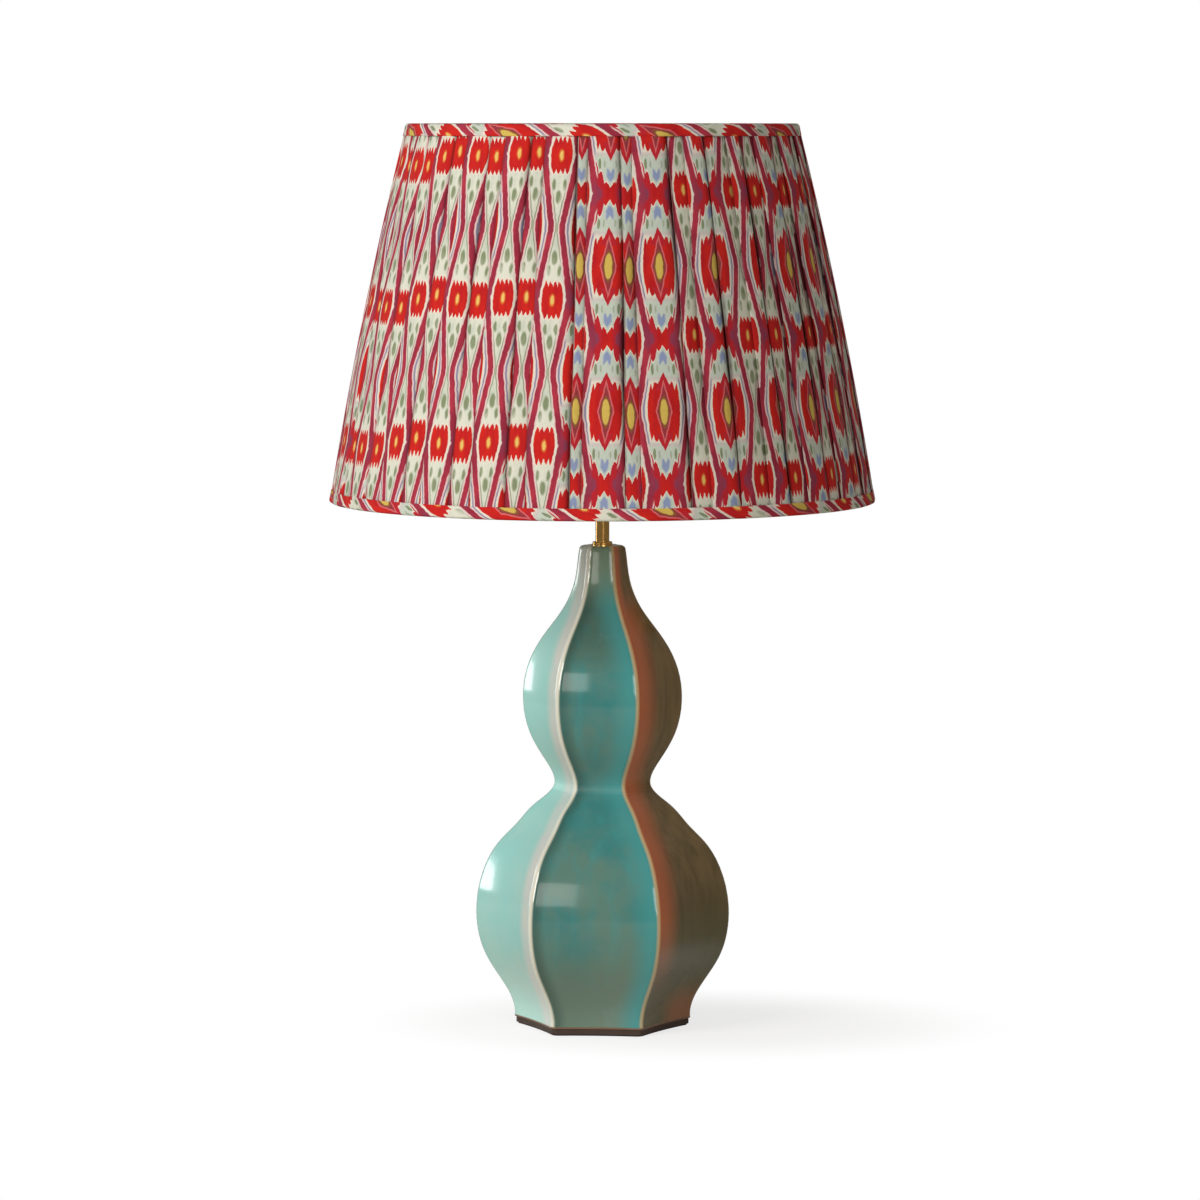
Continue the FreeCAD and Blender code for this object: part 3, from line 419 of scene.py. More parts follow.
    # the stripe over what it borders, its light border, and a light corner beside the medallion
    half = s["stripeHalf"] + b.fade(s["stripeSwell"])
    core = finish.mix(patch.grow(s["stripePatch"]), s["maroon"], s["rose"])
    core = finish.mix(b.fade(s["stripeMauve"]), core, s["mauve"])
    bordered = 1.0 - ovalSide * b.within(s["borderStart"])
    paint((edge - half - s["stripeBorder"]).inside(soft) * bordered, "pink")
    paint((edge - half).inside(soft), core)
    corner = (a - s["cornerFar"] + s["cornerSlope"] * b).inside(s["cornerSoft"])
    corner = corner * (a - s["cornerStart"]).rise(-s["cornerSoft"], s["cornerSoft"])
    paint(corner * b.within(s["cornerEnd"]), "pink")

    # the medallion: a cream border, the red body combed at top and bottom, a small bright eye
    side = a - s["medallionHalf"] + s["medallionTaper"] * (b / s["medallionHeight"]) ** 2.0
    side = side + (patch - 0.5) * s["medallionUneven"]
    comb = teeth(a + (drift - 0.5) * s["medallionDrift"], s["medallionTeeth"]) * s["medallionTooth"]
    comb = comb + (streak - 0.5) * s["medallionRagged"]
    borderTop = (b + comb * 0.5 - s["medallionBorderEnd"]).inside(soft)
    paint((side - s["medallionBorder"]).inside(soft) * borderTop, "cream")
    paint(side.inside(soft) * (b + comb - s["medallionEnd"]).inside(soft), redCloth)
    paint(ellipse(a, b, s["eye"]), "orange")
    paint(ellipse(a, b, s["pupil"]), "gold")
    return colour


# The cloth that carries the print, with painted shade in its tucks: the pitch of its threads is
# in millimetres on the flat cloth
clothSet = {
    "roughness": 0.86,
    "specular": 0.25,
    "sheen": 0.04,
    "sheenRoughness": 0.5,
    "threadGrain": (1.6, 0.25, 5.0, 3.0, 0.6),
    "threadShade": rgb(214, 214, 214),
    "threadPitch": 0.8,
    "threadHeight": 0.06 * millimetre,
    "threadStrength": 0.5,
    # the tone of the painted shade in a tuck and how much of it is laid on
    "tuckPaintedShade": rgb(116, 88, 88),
    "tuckPaintedShadeShare": 0.8,
}


def clothFinish(name):
    s = clothSet
    finish = Finish(name, {"Roughness": s["roughness"], "Specular IOR Level": s["specular"],
                           "Sheen Weight": s["sheen"], "Sheen Roughness": s["sheenRoughness"]})
    # the cloth's own flat place, from metres in its UV map to millimetres
    across, along, _ = finish.split(finish.node("UVMap", {"uv_map": "flat"}).outputs[0])
    across = across * 1000
    along = along * 1000
    thread = flatNoise(finish, across, along, s["threadGrain"])
    slub = finish.mix(thread, s["threadShade"], white)
    dyed = finish.mix(1.0, ikatColour(finish, across, along), slub, "MULTIPLY")
    # painted shade: the cloth is darkened where it dips into a tuck, standing in for the shade of the fold
    tuck = Value(finish.tree, finish.node("Attribute", {"attribute_name": "tuck"}).outputs["Fac"])
    finish.drive("Base Color", finish.mix(tuck * s["tuckPaintedShadeShare"], dyed, s["tuckPaintedShade"], "MULTIPLY"))
    # the weave is one wave each way, in step with the flat cloth
    step = 2 * math.pi / s["threadPitch"]
    weave = (across * step).wave() * (along * step).wave()
    finish.bump(weave * 0.5 + 0.5, s["threadHeight"], s["threadStrength"])
    return finish.material


# The glaze: its tones, its grains of noise (scale, detail, roughness) and its changes, each
# where it begins, where it ends and its share. Changes with heights and distances are in metres,
# the distances from a ridge; those of clouds, streaks and milk are ranges of the noise.
glazeSet = {
    "front": rgb(58, 129, 128),
    "frontCloud": rgb(92, 131, 120),
    "frontEdge": rgb(66, 148, 148),
    "frontFloorReflection": rgb(108, 126, 108),
    "frontPaintedShade": rgb(44, 72, 64),
    "frontMilk": rgb(112, 140, 132),
    "neckTone": rgb(136, 154, 130),
    # the left facets are painted lighter, standing in for the lit side
    "left": rgb(154, 216, 210),
    "leftCloud": rgb(172, 216, 208),
    "leftPaintedReflection": rgb(222, 218, 212),
    "leftLow": rgb(192, 228, 218),
    # the right facets' brown is painted shade and a painted reflection of a warm room
    "right": rgb(128, 105, 66),
    "rightCloud": rgb(102, 84, 48),
    "rightWarmReflection": rgb(210, 110, 62),
    "rightFootShade": rgb(74, 76, 42),
    "lightLine": rgb(226, 222, 204),
    "warmLine": rgb(206, 182, 138),
    "bare": rgb(116, 82, 60),
    "cloudGrain": (15.0, 4.0, 0.6),
    "milkGrain": (11.0, 5.0, 0.7),
    "streakScale": (90.0, 90.0, 9.0),
    "streakGrain": (1.0, 3.0, 0.6),
    "rippleGrain": (30.0, 1.5, 0.4),
    "rippleHeight": 0.9 * millimetre,
    "rippleStrength": 0.2,
    "ridgeTurn": 60.0,
    # the front facets, with painted shade high on the crown and by the left ridge and a painted reflection
    # of the floor at the foot
    "frontClouds": (0.36, 0.62, 1.0),
    "frontStreaks": (0.45, 0.75, 0.5),
    "frontFoot": (0.03, 0.1, 0.85),
    "crownStart": (0.29, 0.33, 1.0),
    "crownEnd": (0.345, 0.385, 1.0),
    "crownClouds": (0.3, 0.55, 0.45),
    "frontMilky": (0.56, 0.72, 0.55),
    "rightEdge": (0.003, 0.022, 0.9),
    "leftEdge": (0.002, 0.012, 0.6),
    "neck": (0.345, 0.385, 0.8),
    # the left facet, painted lighter as the lit side, with a painted pale reflection beside its ridge
    "leftClouds": (0.35, 0.7, 1.0),
    "leftFoot": (0.03, 0.08, 0.7),
    "paleReflection": (0.009, 0.022, 1.0),
    "paleReflectionClouds": (0.3, 0.65, 0.35),
    "paleReflectionLeast": 0.5,
    # the right facet, brown as painted shade and painted reflection of a warm room, with a painted warm
    # reflection beside its ridge and low on its far side
    "rightStreaks": (0.3, 0.75, 1.0),
    "rightFoot": (0.07, 0.14, 0.8),
    "ridgeReflection": (0.006, 0.032, 0.85),
    "ridgeReflectionFoot": (0.03, 0.11, 1.0),
    "ridgeReflectionNeck": (0.33, 0.37, 1.0),
    "ridgeReflectionAtNeck": (0.003, 0.011, 1.0),
    "lowReflection": (0.02, 0.045, 0.3),
    "lowReflectionTop": (0.015, 0.045, 1.0),
    # where the facets meet, the line along each ridge, the bare foot and the fold of the waist
    "seam": (-0.001, 0.001, 1.0),
    "lineTone": (-0.01, 0.01, 1.0),
    "line": (0.0003, 0.0026, 0.85),
    "bareTop": (0.0068, 0.008, 1.0),
    "waist": 0.2,
    "fold": (0.002, 0.006, 1.0),
    "roughness": 0.13,
    "bareRougher": 0.4,
    "foldRougher": 0.25,
    "coat": 0.4,
    "coatLostInFold": 0.38,
    "coatRoughness": 0.05,
}


def glazeFinish():
    # a thick celadon glaze: pale and thin on the ridges, clouded teal on the faces; the left facets are
    # painted lighter as the lit side and the right ones brown, as painted shade and painted reflection
    # of a warm room
    s = glazeSet
    finish = Finish("glaze", {"Coat Roughness": s["coatRoughness"]})
    vector = finish.place()
    x, y, z = finish.split(vector)
    depth = abs(y)
    turn = math.radians(s["ridgeTurn"])
    past = x * math.sin(turn) - depth * math.cos(turn)    # beyond the ridges on the right
    before = x * -math.sin(turn) - depth * math.cos(turn)    # beyond those on the left
    ridge = abs(past).least(abs(before)).least(depth)
    cloud = finish.noise(vector, *s["cloudGrain"])
    milk = finish.noise(vector, *s["milkGrain"])
    stretched = finish.join(*(part * scale for part, scale in zip((x, y, z), s["streakScale"])))
    streak = finish.noise(stretched, *s["streakGrain"])

    front = finish.mix(cloud.grow(s["frontClouds"]), s["front"], s["frontCloud"])
    front = finish.mix(streak.grow(s["frontStreaks"]), front, s["frontEdge"])
    # painted reflection of the floor: greyer towards the foot
    front = finish.mix(z.fade(s["frontFoot"]), front, s["frontFloorReflection"])
    # painted shade: darker high on the crown's front
    crownShade = z.grow(s["crownStart"]) * z.fade(s["crownEnd"]) * cloud.grow(s["crownClouds"])
    front = finish.mix(crownShade, front, s["frontPaintedShade"])
    front = finish.mix(milk.grow(s["frontMilky"]), front, s["frontMilk"])
    front = finish.mix(abs(past).fade(s["rightEdge"]), front, s["frontEdge"])
    # painted shade along the front's edge by the left ridge
    front = finish.mix(abs(before).fade(s["leftEdge"]), front, s["frontPaintedShade"])
    front = finish.mix(z.grow(s["neck"]), front, s["neckTone"])

    # the left facets: painted lighter as the lit side, and lighter still towards the foot
    left = finish.mix(cloud.grow(s["leftClouds"]), s["left"], s["leftCloud"])
    left = finish.mix(z.fade(s["leftFoot"]), left, s["leftLow"])
    # painted reflection: a pale band beside the left ridge
    paleReflection = before.fade(s["paleReflection"]) * (s["paleReflectionLeast"] + cloud.grow(s["paleReflectionClouds"]))
    left = finish.mix(paleReflection, left, s["leftPaintedReflection"])

    # the right facets: brown-olive as painted shade and painted reflection, darker towards the foot as
    # painted shade
    right = finish.mix(streak.grow(s["rightStreaks"]), s["right"], s["rightCloud"])
    right = finish.mix(z.fade(s["rightFoot"]), right, s["rightFootShade"])
    # painted warm reflection beside the right ridge, kept off the neck, and the same painted reflection
    # low on the far side
    ridgeReflection = past.fade(s["ridgeReflection"]) * z.grow(s["ridgeReflectionFoot"])
    ridgeReflection = ridgeReflection * (1.0 - z.grow(s["ridgeReflectionNeck"]) * past.grow(s["ridgeReflectionAtNeck"]))
    lowReflection = past.grow(s["lowReflection"]) * z.fade(s["lowReflectionTop"])
    right = finish.mix(ridgeReflection + lowReflection, right, s["rightWarmReflection"])

    body = finish.mix(before.grow(s["seam"]), front, left)
    body = finish.mix(past.grow(s["seam"]), body, right)
    # the ridge line is pale where the glaze runs thin; its lighter tone on the left ridges and warmer one
    # on the right are painted light, as on the facets
    line = finish.mix(x.grow(s["lineTone"]), s["lightLine"], s["warmLine"])
    body = finish.mix(ridge.fade(s["line"]), body, line)
    bare = z.fade(s["bareTop"])
    finish.drive("Base Color", finish.mix(bare, body, s["bare"]))
    # the glaze lies thicker and softer in the fold of the waist
    fold = abs(z - s["waist"]).fade(s["fold"])
    finish.drive("Roughness", s["roughness"] + bare * s["bareRougher"] + fold * s["foldRougher"])
    finish.drive("Coat Weight", s["coat"] - fold * s["coatLostInFold"])
    ripple = finish.noise(vector, *s["rippleGrain"])
    finish.bump(ripple, s["rippleHeight"], s["rippleStrength"])
    return finish.material


metalSet = {
    "grain": (60.0, 3.0),    # scale and detail
    "patina": (0.35, 0.75, 1.0),
    "dull": 0.9,
    "spread": 0.06,
}


def metalFinish(name, colour, roughness):
    # lacquered metal: a broad patina changes the tone and the roughness a little
    s = metalSet
    finish = Finish(name, {"Metallic": 1.0})
    patina = finish.noise(finish.place(), *s["grain"])
    dull = tuple(s["dull"] * part for part in colour[:3]) + (1.0,)
    finish.drive("Base Color", finish.mix(patina.grow(s["patina"]), colour, dull))
    finish.drive("Roughness", roughness + (patina - 0.5) * s["spread"])
    return finish.material


plainSet = {
    "grain": (4.0, 0.65),    # detail and roughness
    "spread": 0.12,
    "bump": 0.6,
}


def plainFinish(name, colour, second, roughness, scale, depth, extra=None):
    # moulded, fibrous or felted surfaces: two near tones by noise, with a matching bump
    s = plainSet
    finish = Finish(name, extra or {})
    grain = finish.noise(finish.place(), scale, *s["grain"])
    finish.drive("Base Color", finish.mix(grain, colour, second))
    finish.drive("Roughness", roughness + (grain - 0.5) * s["spread"])
    finish.bump(grain, depth, s["bump"])
    return finish.material


# Metal takes its tone and roughness; a plain finish takes two tones, its roughness, the scale of
# its grain, the height of its bump in metres and what else is set on the shader
finishes = {
    "glazed_gourd": glazeFinish(),
    "dark_foot": plainFinish("darkFoot", rgb(48, 32, 24), rgb(70, 50, 38), 0.5, 160.0, 0.0002),
    "felt": plainFinish("felt", rgb(34, 34, 36), rgb(62, 62, 64), 0.95, 900.0, 0.0006),
    "black_rubber": plainFinish("rubber", rgb(22, 22, 22), rgb(36, 36, 36), 0.6, 500.0, 0.0001),
    "zinc_steel": metalFinish("zincSteel", rgb(196, 198, 202), 0.34),
    "satin_brass": metalFinish("satinBrass", rgb(236, 186, 108), 0.17),
    "socket_brass": metalFinish("socketBrass", rgb(214, 178, 108), 0.3),
    "fibre_liner": plainFinish("fibreLiner", rgb(90, 78, 62), rgb(112, 98, 80), 0.85, 600.0, 0.0002),
    "black_phenolic": plainFinish("blackPhenolic", rgb(20, 18, 17), rgb(34, 30, 28), 0.32, 240.0, 0.00006),
    "opal_glass": plainFinish("opalGlass", rgb(240, 240, 236), rgb(248, 248, 245), 0.22, 90.0, 0.00003,
                              {"Coat Weight": 0.4, "Coat Roughness": 0.05}),
    "bulb_metal": metalFinish("bulbMetal", rgb(202, 200, 194), 0.3),
    "shade_card": plainFinish("shadeCard", rgb(238, 234, 222), rgb(247, 244, 235), 0.7, 350.0, 0.0001),
}
finishes["ikat_cloth"] = clothFinish("ikatCloth")
finishes["binding_cloth"] = clothFinish("bindingCloth")
for part in frame["record"]["subparts"]:
    node = frame["nodes"][part["node"]]
    for holder in node.material_slots:
        holder.material = finishes[part["material_slot"]]
print("finishes made", len(finishes))


def ringPoints(radius, azimuth, height):
    # points around the lamp; azimuth 0 is the front
    return np.stack([radius * np.sin(azimuth), -radius * np.cos(azimuth), height], axis=-1)


def clothRing(name, place, flat, thick, slotName, body):
    # a closed ring of cloth: rows run upwards, columns around the lamp; flat has one column more
    rows, columns = place.shape[:2]
    row, column = np.meshgrid(np.arange(rows - 1), np.arange(columns), indexing="ij")
    after = (column + 1) % columns
    corners = np.stack([row * columns + column, row * columns + after,
                        (row + 1) * columns + after, (row + 1) * columns + column], axis=-1)
    mesh = bpy.data.meshes.new(name)
    mesh.from_pydata(place.reshape(-1, 3), [], corners.reshape(-1, 4))
    flats = np.stack([flat[row, column], flat[row, column + 1],
                      flat[row + 1, column + 1], flat[row + 1, column]], axis=2)
    layer = mesh.uv_layers.new(name="flat")
    layer.data.foreach_set("uv", flats.astype(np.float32).ravel())
    mesh.polygons.foreach_set("use_smooth", np.ones(len(mesh.polygons), dtype=bool))
    mesh.materials.append(finishes[slotName])
    piece = bpy.data.objects.new(name, mesh)
    bpy.context.scene.collection.objects.link(piece)
    wall = piece.modifiers.new("thickness", "SOLIDIFY")
    wall.thickness = thick
    wall.offset = -1.0
    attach(piece, body)
    return piece


# The shade's outer cone, from the boxes of its two bindings
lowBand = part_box("bottom_binding")
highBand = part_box("top_binding")
lowRadius = lowBand[1].x
highRadius = highBand[1].x
coneSlope = (lowRadius - highRadius) / (highBand[0].z - lowBand[0].z)
slantStretch = math.hypot(1.0, coneSlope)


def coneRadius(height, inset):
    # the cone's radius at a height, less an inset
    return lowRadius - coneSlope * (height - lowBand[0].z) - inset


# Pleats: a narrow and a wide strip by turns; each starts at a raised fold on its left, sinks
# towards its right and runs on under the next one. Edges and turns are in degrees. Pairs are
# (narrow, wide), except for the waves of the sway. Tuples of shares go over a strip's columns
# behind the next strip, or over the last three of these.
pleatSet = {
    "frontEdges": (-29.3, -24.4, -16.4, -12.1, -2.8, -0.2, 8.9, 12.0, 22.6, 26.9, 33.8, 41.0),
    "evenFrom": 46.5,
    "evenPairs": 22,
    "narrowShare": 0.37,
    "uneven": 0.045,
    "topInset": (2.1 * millimetre, 0.9 * millimetre),
    "edgeInset": (2.3 * millimetre, 1.4 * millimetre),
    "endDepth": (3.6 * millimetre, 4.1 * millimetre),
    "sinkPower": (1.6, 11.0),
    "fullness": (0.5, 1.0),
    "shoulder": 0.35,
    "foldRadius": (0.75 * millimetre, 0.5 * millimetre),
    "foldTurns": (0.0, 45.0, 90.0, 135.0),
    "foldClear": 0.1 * millimetre,
    "turnShare": 0.25,
    "underShares": (0.5, 1.0, 1.0, 1.0, 0.66, 0.33),
    "depthShares": (0.0, 0.5, 1.0),
    "returnShares": (0.0, 0.33, 0.66),
    "hidden": 0.3,
    "bulge": 3.5 * millimetre,
    "slack": 3.4 * millimetre,
    "looseMean": 0.65,
    "looseSwing": 0.35,
    "looseWave": 9.0,
    "sway": 0.5 * millimetre,
    "swayWaves": (5.0, 11.0),
    # how far the painted shade of a tuck reaches onto the next face and back from a face's end
    "tuckShadeStart": 0.7 * millimetre,
    "tuckShadeEnd": 2.8 * millimetre,
    "cloth": 0.35 * millimetre,
    "faceColumns": 15,
    "rows": 27,
    "lowSpare": 1.2 * millimetre,
    "seed": 7,
}

# How the print lies on the strips: the place across the print of each strip's left edge, in
# millimetres from the medallion column, and the height of a medallion row in millimetres up the
# slant. Turns are in degrees; pairs are (narrow, wide).
layoutSet = {
    "frontAcross": (-7.0, -14.0, -7.0, -14.0, 22.0, 7.3, 20.7, 6.0, -10.4, 6.6, -21.5, 4.5),
    "rightAcross": (-7.0, 7.2),
    "leftAcross": (-7.0, -14.0),
    "seamTurn": -3.0,
    "backSeamTurn": 178.0,
    "leftRow": 60.6,
    "rightRow": 27.5,
    "farRow": 30.0,
    "farTurn": 20.0,
    "farLeftRow": 52.5,
    "farLeftTurn": 306.0,
    "rowJitter": 2.6,
}


def pleatedCover():
    # strips are counted from the left in front; narrow ones are even, wide ones odd
    s = pleatSet
    chance = np.random.default_rng(s["seed"])
    front = np.array(s["frontEdges"])
    turnEnd = front[0] + 360.0
    pair = (turnEnd - s["evenFrom"]) / s["evenPairs"]
    even = np.repeat(s["evenFrom"] + pair * np.arange(s["evenPairs"]), 2)
    even[1::2] += s["narrowShare"] * pair
    even += chance.uniform(-s["uneven"], s["uneven"], len(even)) * pair
    degrees = np.concatenate([front, even])
    starts = np.radians(degrees)
    strips = len(starts)
    kind = np.arange(strips) % 2
    nextKind = 1 - kind
    widths = np.append(starts[1:], starts[0] + 2 * math.pi) - starts
    under = s["hidden"] * np.roll(widths, -1)

    # one strip's columns: the face, two under the next strip, the turn, three on the way back
    # and the fold of the next strip; each as a share of the width, a share of the hidden width
    # and metres along the ring, and a depth under the cone
    share = np.sin(np.linspace(0.0, math.pi / 2, s["faceColumns"]))
    foldTurn = np.radians(s["foldTurns"])
    behind = len(s["underShares"])
    top = np.array(s["topInset"])[kind][:, None]
    edgeInset = np.array(s["edgeInset"])
    endDepth = np.array(s["endDepth"])[kind][:, None]
    power = np.array(s["sinkPower"])[kind][:, None]
    fold = np.array(s["foldRadius"])
    ownFold = fold[kind][:, None]
    nextFold = fold[nextKind][:, None]
    sink = share[None, :] ** power
    shoulderShare = np.maximum(1 - share[None, :] / s["shoulder"], 0.0) ** 2
    shoulder = (edgeInset[kind][:, None] - top) * shoulderShare
    face = top + shoulder + (endDepth - top) * sink
    foldTop = edgeInset[nextKind][:, None]
    foldDepth = foldTop + nextFold + nextFold * np.cos(foldTurn)
    lastDepth = foldDepth[:, :1] + s["foldClear"]
    back = s["turnShare"] * (endDepth - lastDepth)
    wayBack = endDepth - 2 * back + (lastDepth - endDepth + 2 * back) * np.array([s["depthShares"]])
    columnDepth = np.concatenate([face, endDepth, endDepth, endDepth - back, wayBack, foldDepth], axis=1)
    columnWidth = np.concatenate([share, np.ones(behind + len(foldTurn))])
    columnUnder = np.concatenate([0 * share, s["underShares"], 0 * foldTurn])
    metres = np.concatenate([ownFold * (1 - share[None, :]), 0 * endDepth, 0 * endDepth, back,
                             nextFold * np.array([s["returnShares"]]),
                             nextFold - nextFold * np.sin(foldTurn)], axis=1)
    sunk = np.concatenate([sink, np.ones((strips, behind)), np.zeros((strips, len(foldTurn)))], axis=1)

    low = lowBand[0].z + s["lowSpare"]
    high = highBand[1].z - s["lowSpare"]
    heights = np.linspace(low, high, s["rows"])
    radii = coneRadius(heights, 0.0)
    level = (heights - low) / (high - low)
    belly = 4 * level * (1 - level)
    wander = chance.uniform(0.0, 2 * math.pi, (strips, 3))
    slow, quick = s["swayWaves"]
    sway = (np.sin(level[:, None] * slow + wander[None, :, 0])
            + 0.5 * np.sin(level[:, None] * quick + wander[None, :, 1]))
    edge = starts[None, :] + sway * s["sway"] / radii[:, None]
    nextEdge = np.roll(edge, -1, axis=1)
    nextEdge[:, -1] += 2 * math.pi
    gap = nextEdge - edge
    angle = (edge[:, :, None] + gap[:, :, None] * columnWidth + under[None, :, None] * columnUnder
             + metres[None, :, :] / radii[:, None, None])
    # the whole cloth stands out between the bindings, its sunk ends less so
    loose = s["looseMean"] + s["looseSwing"] * np.sin(level[:, None] * s["looseWave"] + wander[None, :, 2])
    fullness = np.array(s["fullness"])[kind]
    slack = s["slack"] * belly[:, None] * loose * fullness
    proud = s["bulge"] * belly[:, None, None]
    depth = columnDepth[None, :, :] - proud + slack[:, :, None] * sunk[None, :, :]
    place = ringPoints(radii[:, None, None] - depth, angle,
                       np.broadcast_to(heights[:, None, None], angle.shape))
    place = place.reshape(s["rows"], -1, 3)

    flat = printLayout(degrees, kind, columnWidth, columnUnder, gap, under, radii, heights, chance)
    piece = clothRing("pleated_cover", place, flat, s["cloth"], "ikat_cloth", "shade")
    # how deep a point lies in a tuck, which sets the cloth's painted shade: 1 behind a face's end,
    # falling to 0 over the face's last millimetres and over the next face's first ones, times how loose
    # and how full the strip is
    across = columnWidth * gap[:, :, None] * radii[:, None, None]
    toEnd = np.maximum(1.0 - (across[:, :, -1:] - across) / s["tuckShadeEnd"], 0.0)
    fromStart = np.maximum(1.0 - across / s["tuckShadeStart"], 0.0)
    strength = (loose * fullness)[:, :, None]
    tuck = strength * toEnd + np.roll(strength, 1, axis=1) * fromStart
    layer = piece.data.attributes.new("tuck", "FLOAT", "POINT")
    layer.data.foreach_set("value", tuck.astype(np.float32).ravel())
    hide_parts("shade_cover")


def printLayout(degrees, kind, columnWidth, columnUnder, gap, under, radii, heights, chance):
    # the flat place of every point: each strip's face starts at its own place in the print, and
    # the hidden columns lead from one strip's print to the next one's
    s = layoutSet
    faces = pleatSet["faceColumns"]
    right = (degrees > s["seamTurn"]) & (degrees < s["backSeamTurn"])
    offset = np.where(right, np.array(s["rightAcross"])[kind], np.array(s["leftAcross"])[kind])
    offset[:len(s["frontAcross"])] = s["frontAcross"]
    rightRow = np.where(degrees > s["farTurn"], s["farRow"], s["rightRow"])
    leftRow = np.where((degrees > 0) & (degrees < s["farLeftTurn"]), s["farLeftRow"], s["leftRow"])
    row = np.where(right, rightRow, leftRow)
    row = row + chance.uniform(-s["rowJitter"], s["rowJitter"], len(degrees))
    arc = radii[:, None, None] / millimetre
    across = offset[None, :, None] + arc * gap[:, :, None] * columnWidth
    across = across + arc * under[None, :, None] * columnUnder
    nextStart = np.roll(across[:, :, 0], -1, axis=1)
    last = across[:, :, faces - 1]
    blend = np.linspace(0.0, 1.0, len(columnWidth) - faces + 1)[1:]
    across[:, :, faces:] = last[:, :, None] + (nextStart - last)[:, :, None] * blend
    slant = (heights - lowBand[0].z) * slantStretch / millimetre
    along = slant[:, None, None] - row[None, :, None] + 0.0 * across
    flat = np.stack([across, along], axis=-1).reshape(len(heights), -1, 2) * millimetre
    return np.concatenate([flat, flat[:, :1]], axis=1)


# Bindings: a bias strip of the same print wraps each edge of the shade over its wire ring. Its
# outer face is wavy by three sines around the lamp, the last one in the phase of the second.
bindingSet = {
    "columns": 560,
    "steps": 6,
    "corner": 2.6 * millimetre,
    "width": 10.0 * millimetre,
    "outerInset": 0.25 * millimetre,
    "innerInset": 9.9 * millimetre,
    "innerShare": 0.85,
    "tuck": 0.6 * millimetre,
    "tuckDrop": 0.2 * millimetre,
    "cloth": 0.45 * millimetre,
    "slant": 24.0,
    "wave": 0.22 * millimetre,
    "waves": (28, 56, 5),
    "waveStarts": (0.8, 2.0),
    "waveShares": (0.5, 0.6),
}


def bindingRing(name, node, low, high, upwards):
    # the strip's section: down (or up) the outside, round the rim in two quarter turns, up the inside
    s = bindingSet
    rim = high if upwards else low
    side = -1.0 if upwards else 1.0
    steps = s["steps"]
    turn = np.linspace(0.0, math.pi / 2, steps)
    corner = s["corner"]
    outside = np.linspace(s["width"], corner, steps)
    outside[0] -= s["tuckDrop"]
    inside = np.linspace(corner, s["width"] * s["innerShare"], steps)[1:]
    inset = np.concatenate([[s["outerInset"] + s["tuck"]], np.full(steps, s["outerInset"]),
                            s["outerInset"] + corner * (1 - np.cos(turn[1:])),
                            s["innerInset"] - corner * (1 - np.sin(turn)),
                            np.full(steps - 1, s["innerInset"])])
    rise = np.concatenate([[s["width"]], outside,
                           corner * (1 - np.sin(turn[1:])),
                           corner * (1 - np.cos(turn)), inside])
    length = np.concatenate([[0.0], np.cumsum(np.hypot(np.diff(inset), np.diff(rise)))])
    azimuth = np.linspace(-math.pi, math.pi, s["columns"], endpoint=False)
    first, second, third = s["waves"]
    phase = s["waveStarts"][1] + s["waveShares"][1] * np.sin(azimuth * third)
    ripple = (np.sin(azimuth * first + s["waveStarts"][0])
              + s["waveShares"][0] * np.sin(azimuth * second + phase))
    onFace = (inset < s["outerInset"] + corner)[:, None]
    depth = inset[:, None] + s["wave"] * ripple[None, :] * onFace
    height = rim + side * rise[:, None] + 0.0 * depth
    place = ringPoints(coneRadius(height, depth), azimuth[None, :] + 0.0 * depth, height)
    whole = np.append(azimuth, math.pi)
    tilt = math.radians(s["slant"])
    around = whole[None, :] * coneRadius(rim, 0.0) + 0.0 * length[:, None]
    # measured upwards on the outside whichever way the section runs
    upward = -side * length[:, None] + 0.0 * around
    flat = np.stack([around * math.sin(tilt) + upward * math.cos(tilt),
                     around * math.cos(tilt) - upward * math.sin(tilt)], axis=-1)
    if not upwards:
        place = place[::-1]
        flat = flat[::-1]
    piece = clothRing(name, place, flat, s["cloth"], "binding_cloth", "shade")
    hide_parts(node)
    float(2 * math.pi * coneRadius(rim, 0.0))


pleatedCover()
bindingRing("top_bias_binding", "top_binding", highBand[0].z, highBand[1].z, True)
bindingRing("bottom_bias_binding", "bottom_binding", lowBand[0].z, lowBand[1].z, False)
print("shade made")


# The studio: a pale floor that keeps the shadow, a white surround, soft lamps from the left
studioSet = {
    "floorHalf": 1.6,
    "shadowCentre": (0.07, 0.01),
    "shadowStretch": 1.5,
    "shadowReach": (0.05, 0.19),
    "shadowKept": 0.25,
    "floorRoughness": 0.9,
    "floorSpecular": 0.1,
    "farFloor": rgb(196, 190, 178),
    "roomForLight": 0.21,
    "roomInGloss": 0.18,
    "roomColour": (1.0, 0.95, 0.87, 1.0),
    "cameraDistance": 4.3,
    "cameraTurn": 4.0,
    "cameraHeight": 0.75,
    "aim": Vector((-0.002, 0.0, 0.353)),
    "lens": 157.2,
    "sensor": 36.0,
}

# Soft lamps: place, target, width and height in metres, power in watts and colour
lampSet = {
    "window_left": ((-1.77, -2.1, 1.5), (0, 0, 0.35), 1.1, 1.5, 61.0, (1.0, 0.99, 0.97)),
    "window_back": ((-2.25, 0.95, 0.64), (0, 0, 0.38), 0.26, 1.0, 5.2, (1.0, 1.0, 1.0)),
    "fill_front": ((1.3, -3.5, 1.15), (0, 0, 0.45), 1.2, 1.6, 24.0, (1.0, 0.95, 0.88)),
    "fill_low": ((0.38, -3.6, 1.2), (0, 0, 0.4), 0.9, 1.2, 8.0, (1.0, 0.96, 0.9)),
}


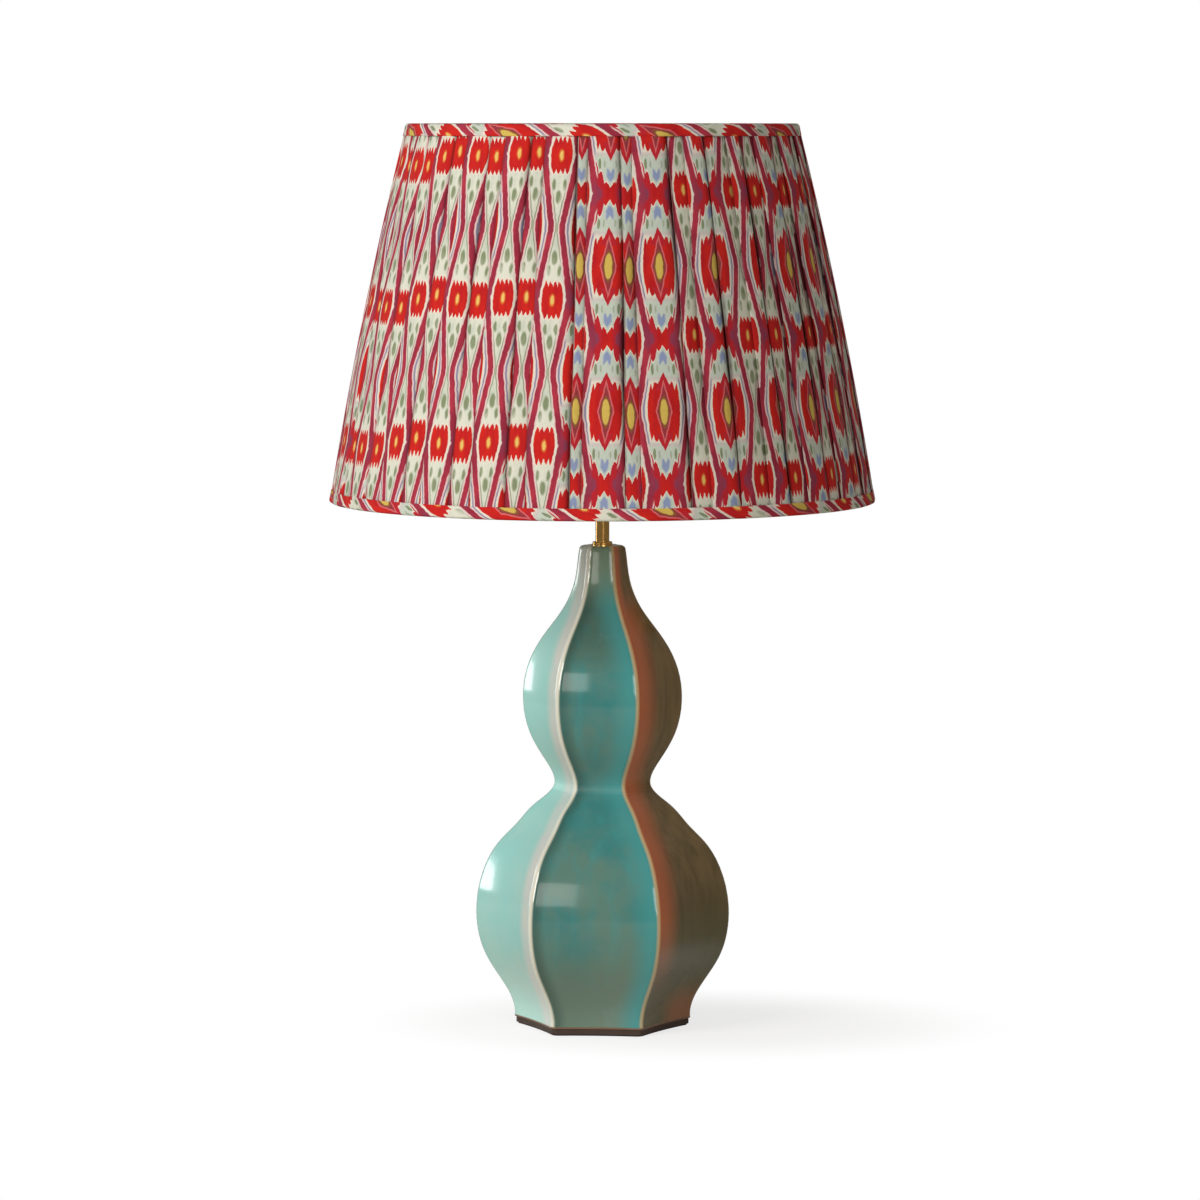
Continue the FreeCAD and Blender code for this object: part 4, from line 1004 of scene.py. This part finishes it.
def floorPlane():
    # the floor shows the object's shadow near its foot and turns plain white further out
    s = studioSet
    half = s["floorHalf"]
    mesh = bpy.data.meshes.new("studio_floor")
    mesh.from_pydata([(-half, -half, 0), (half, -half, 0), (half, half, 0), (-half, half, 0)],
                     [], [(0, 1, 2, 3)])
    finish = Finish("studioFloor", {"Roughness": s["floorRoughness"],
                                    "Specular IOR Level": s["floorSpecular"]})
    x, y, _ = finish.split(finish.place())
    across = (x - s["shadowCentre"][0]) / s["shadowStretch"]
    deep = y - s["shadowCentre"][1]
    away = ((across * across + deep * deep) ** 0.5).rise(*s["shadowReach"])
    finish.drive("Base Color", finish.mix(away, white, s["farFloor"]))
    blank = 1.0 - (1.0 - away) * s["shadowKept"]
    seen = Value(finish.tree, finish.node("LightPath").outputs["Is Camera Ray"])
    glow = finish.node("Emission", inputs={"Color": white, "Strength": 1.0}).outputs[0]
    lit = finish.shader.outputs[0]
    both = finish.node("MixShader", inputs={0: blank * seen, 1: lit, 2: glow}).outputs[0]
    finish.tree.links.new(both, finish.tree.nodes["Material Output"].inputs["Surface"])
    mesh.materials.append(finish.material)
    floor = bpy.data.objects.new("studio_floor", mesh)
    bpy.context.scene.collection.objects.link(floor)


def surround():
    # white to the eye; a warm room, darker still in reflections, to everything else
    s = studioSet
    world = bpy.data.worlds.new("surround")
    world.use_nodes = True
    bpy.context.scene.world = world
    tree = world.node_tree
    background = tree.nodes["Background"]
    ray = tree.nodes.new("ShaderNodeLightPath").outputs
    seen = Value(tree, ray["Is Camera Ray"]).most(Value(tree, ray["Is Transmission Ray"]))
    gloss = Value(tree, ray["Is Glossy Ray"])
    room = s["roomForLight"] - gloss * (s["roomForLight"] - s["roomInGloss"])
    plug(tree, background.inputs["Strength"], room + seen * (1.0 - room))
    tint = tree.nodes.new("ShaderNodeMix")
    tint.data_type = "RGBA"
    for pin, term in ((0, seen), (6, s["roomColour"]), (7, white)):
        plug(tree, tint.inputs[pin], term)
    tree.links.new(tint.outputs[2], background.inputs["Color"])


def softLamp(name, place, target, width, height, power, colour):
    lamp = bpy.data.lights.new(name, "AREA")
    lamp.shape = "RECTANGLE"
    lamp.size = width
    lamp.size_y = height
    lamp.energy = power
    lamp.color = colour
    holder = bpy.data.objects.new(name, lamp)
    holder.location = place
    holder.rotation_euler = (Vector(target) - Vector(place)).to_track_quat("-Z", "Y").to_euler()
    bpy.context.scene.collection.objects.link(holder)


def camera():
    s = studioSet
    turn = math.radians(s["cameraTurn"])
    eye = bpy.data.cameras.new("view")
    eye.lens = s["lens"]
    eye.sensor_width = s["sensor"]
    holder = bpy.data.objects.new("view", eye)
    holder.location = (s["cameraDistance"] * math.sin(turn), -s["cameraDistance"] * math.cos(turn),
                       s["cameraHeight"])
    holder.rotation_euler = (s["aim"] - holder.location).to_track_quat("-Z", "Y").to_euler()
    bpy.context.scene.collection.objects.link(holder)
    bpy.context.scene.camera = holder


floorPlane()
surround()
for name, settings in lampSet.items():
    softLamp(name, *settings)
camera()
bpy.context.scene.view_settings.view_transform = "Standard"
print("studio set")
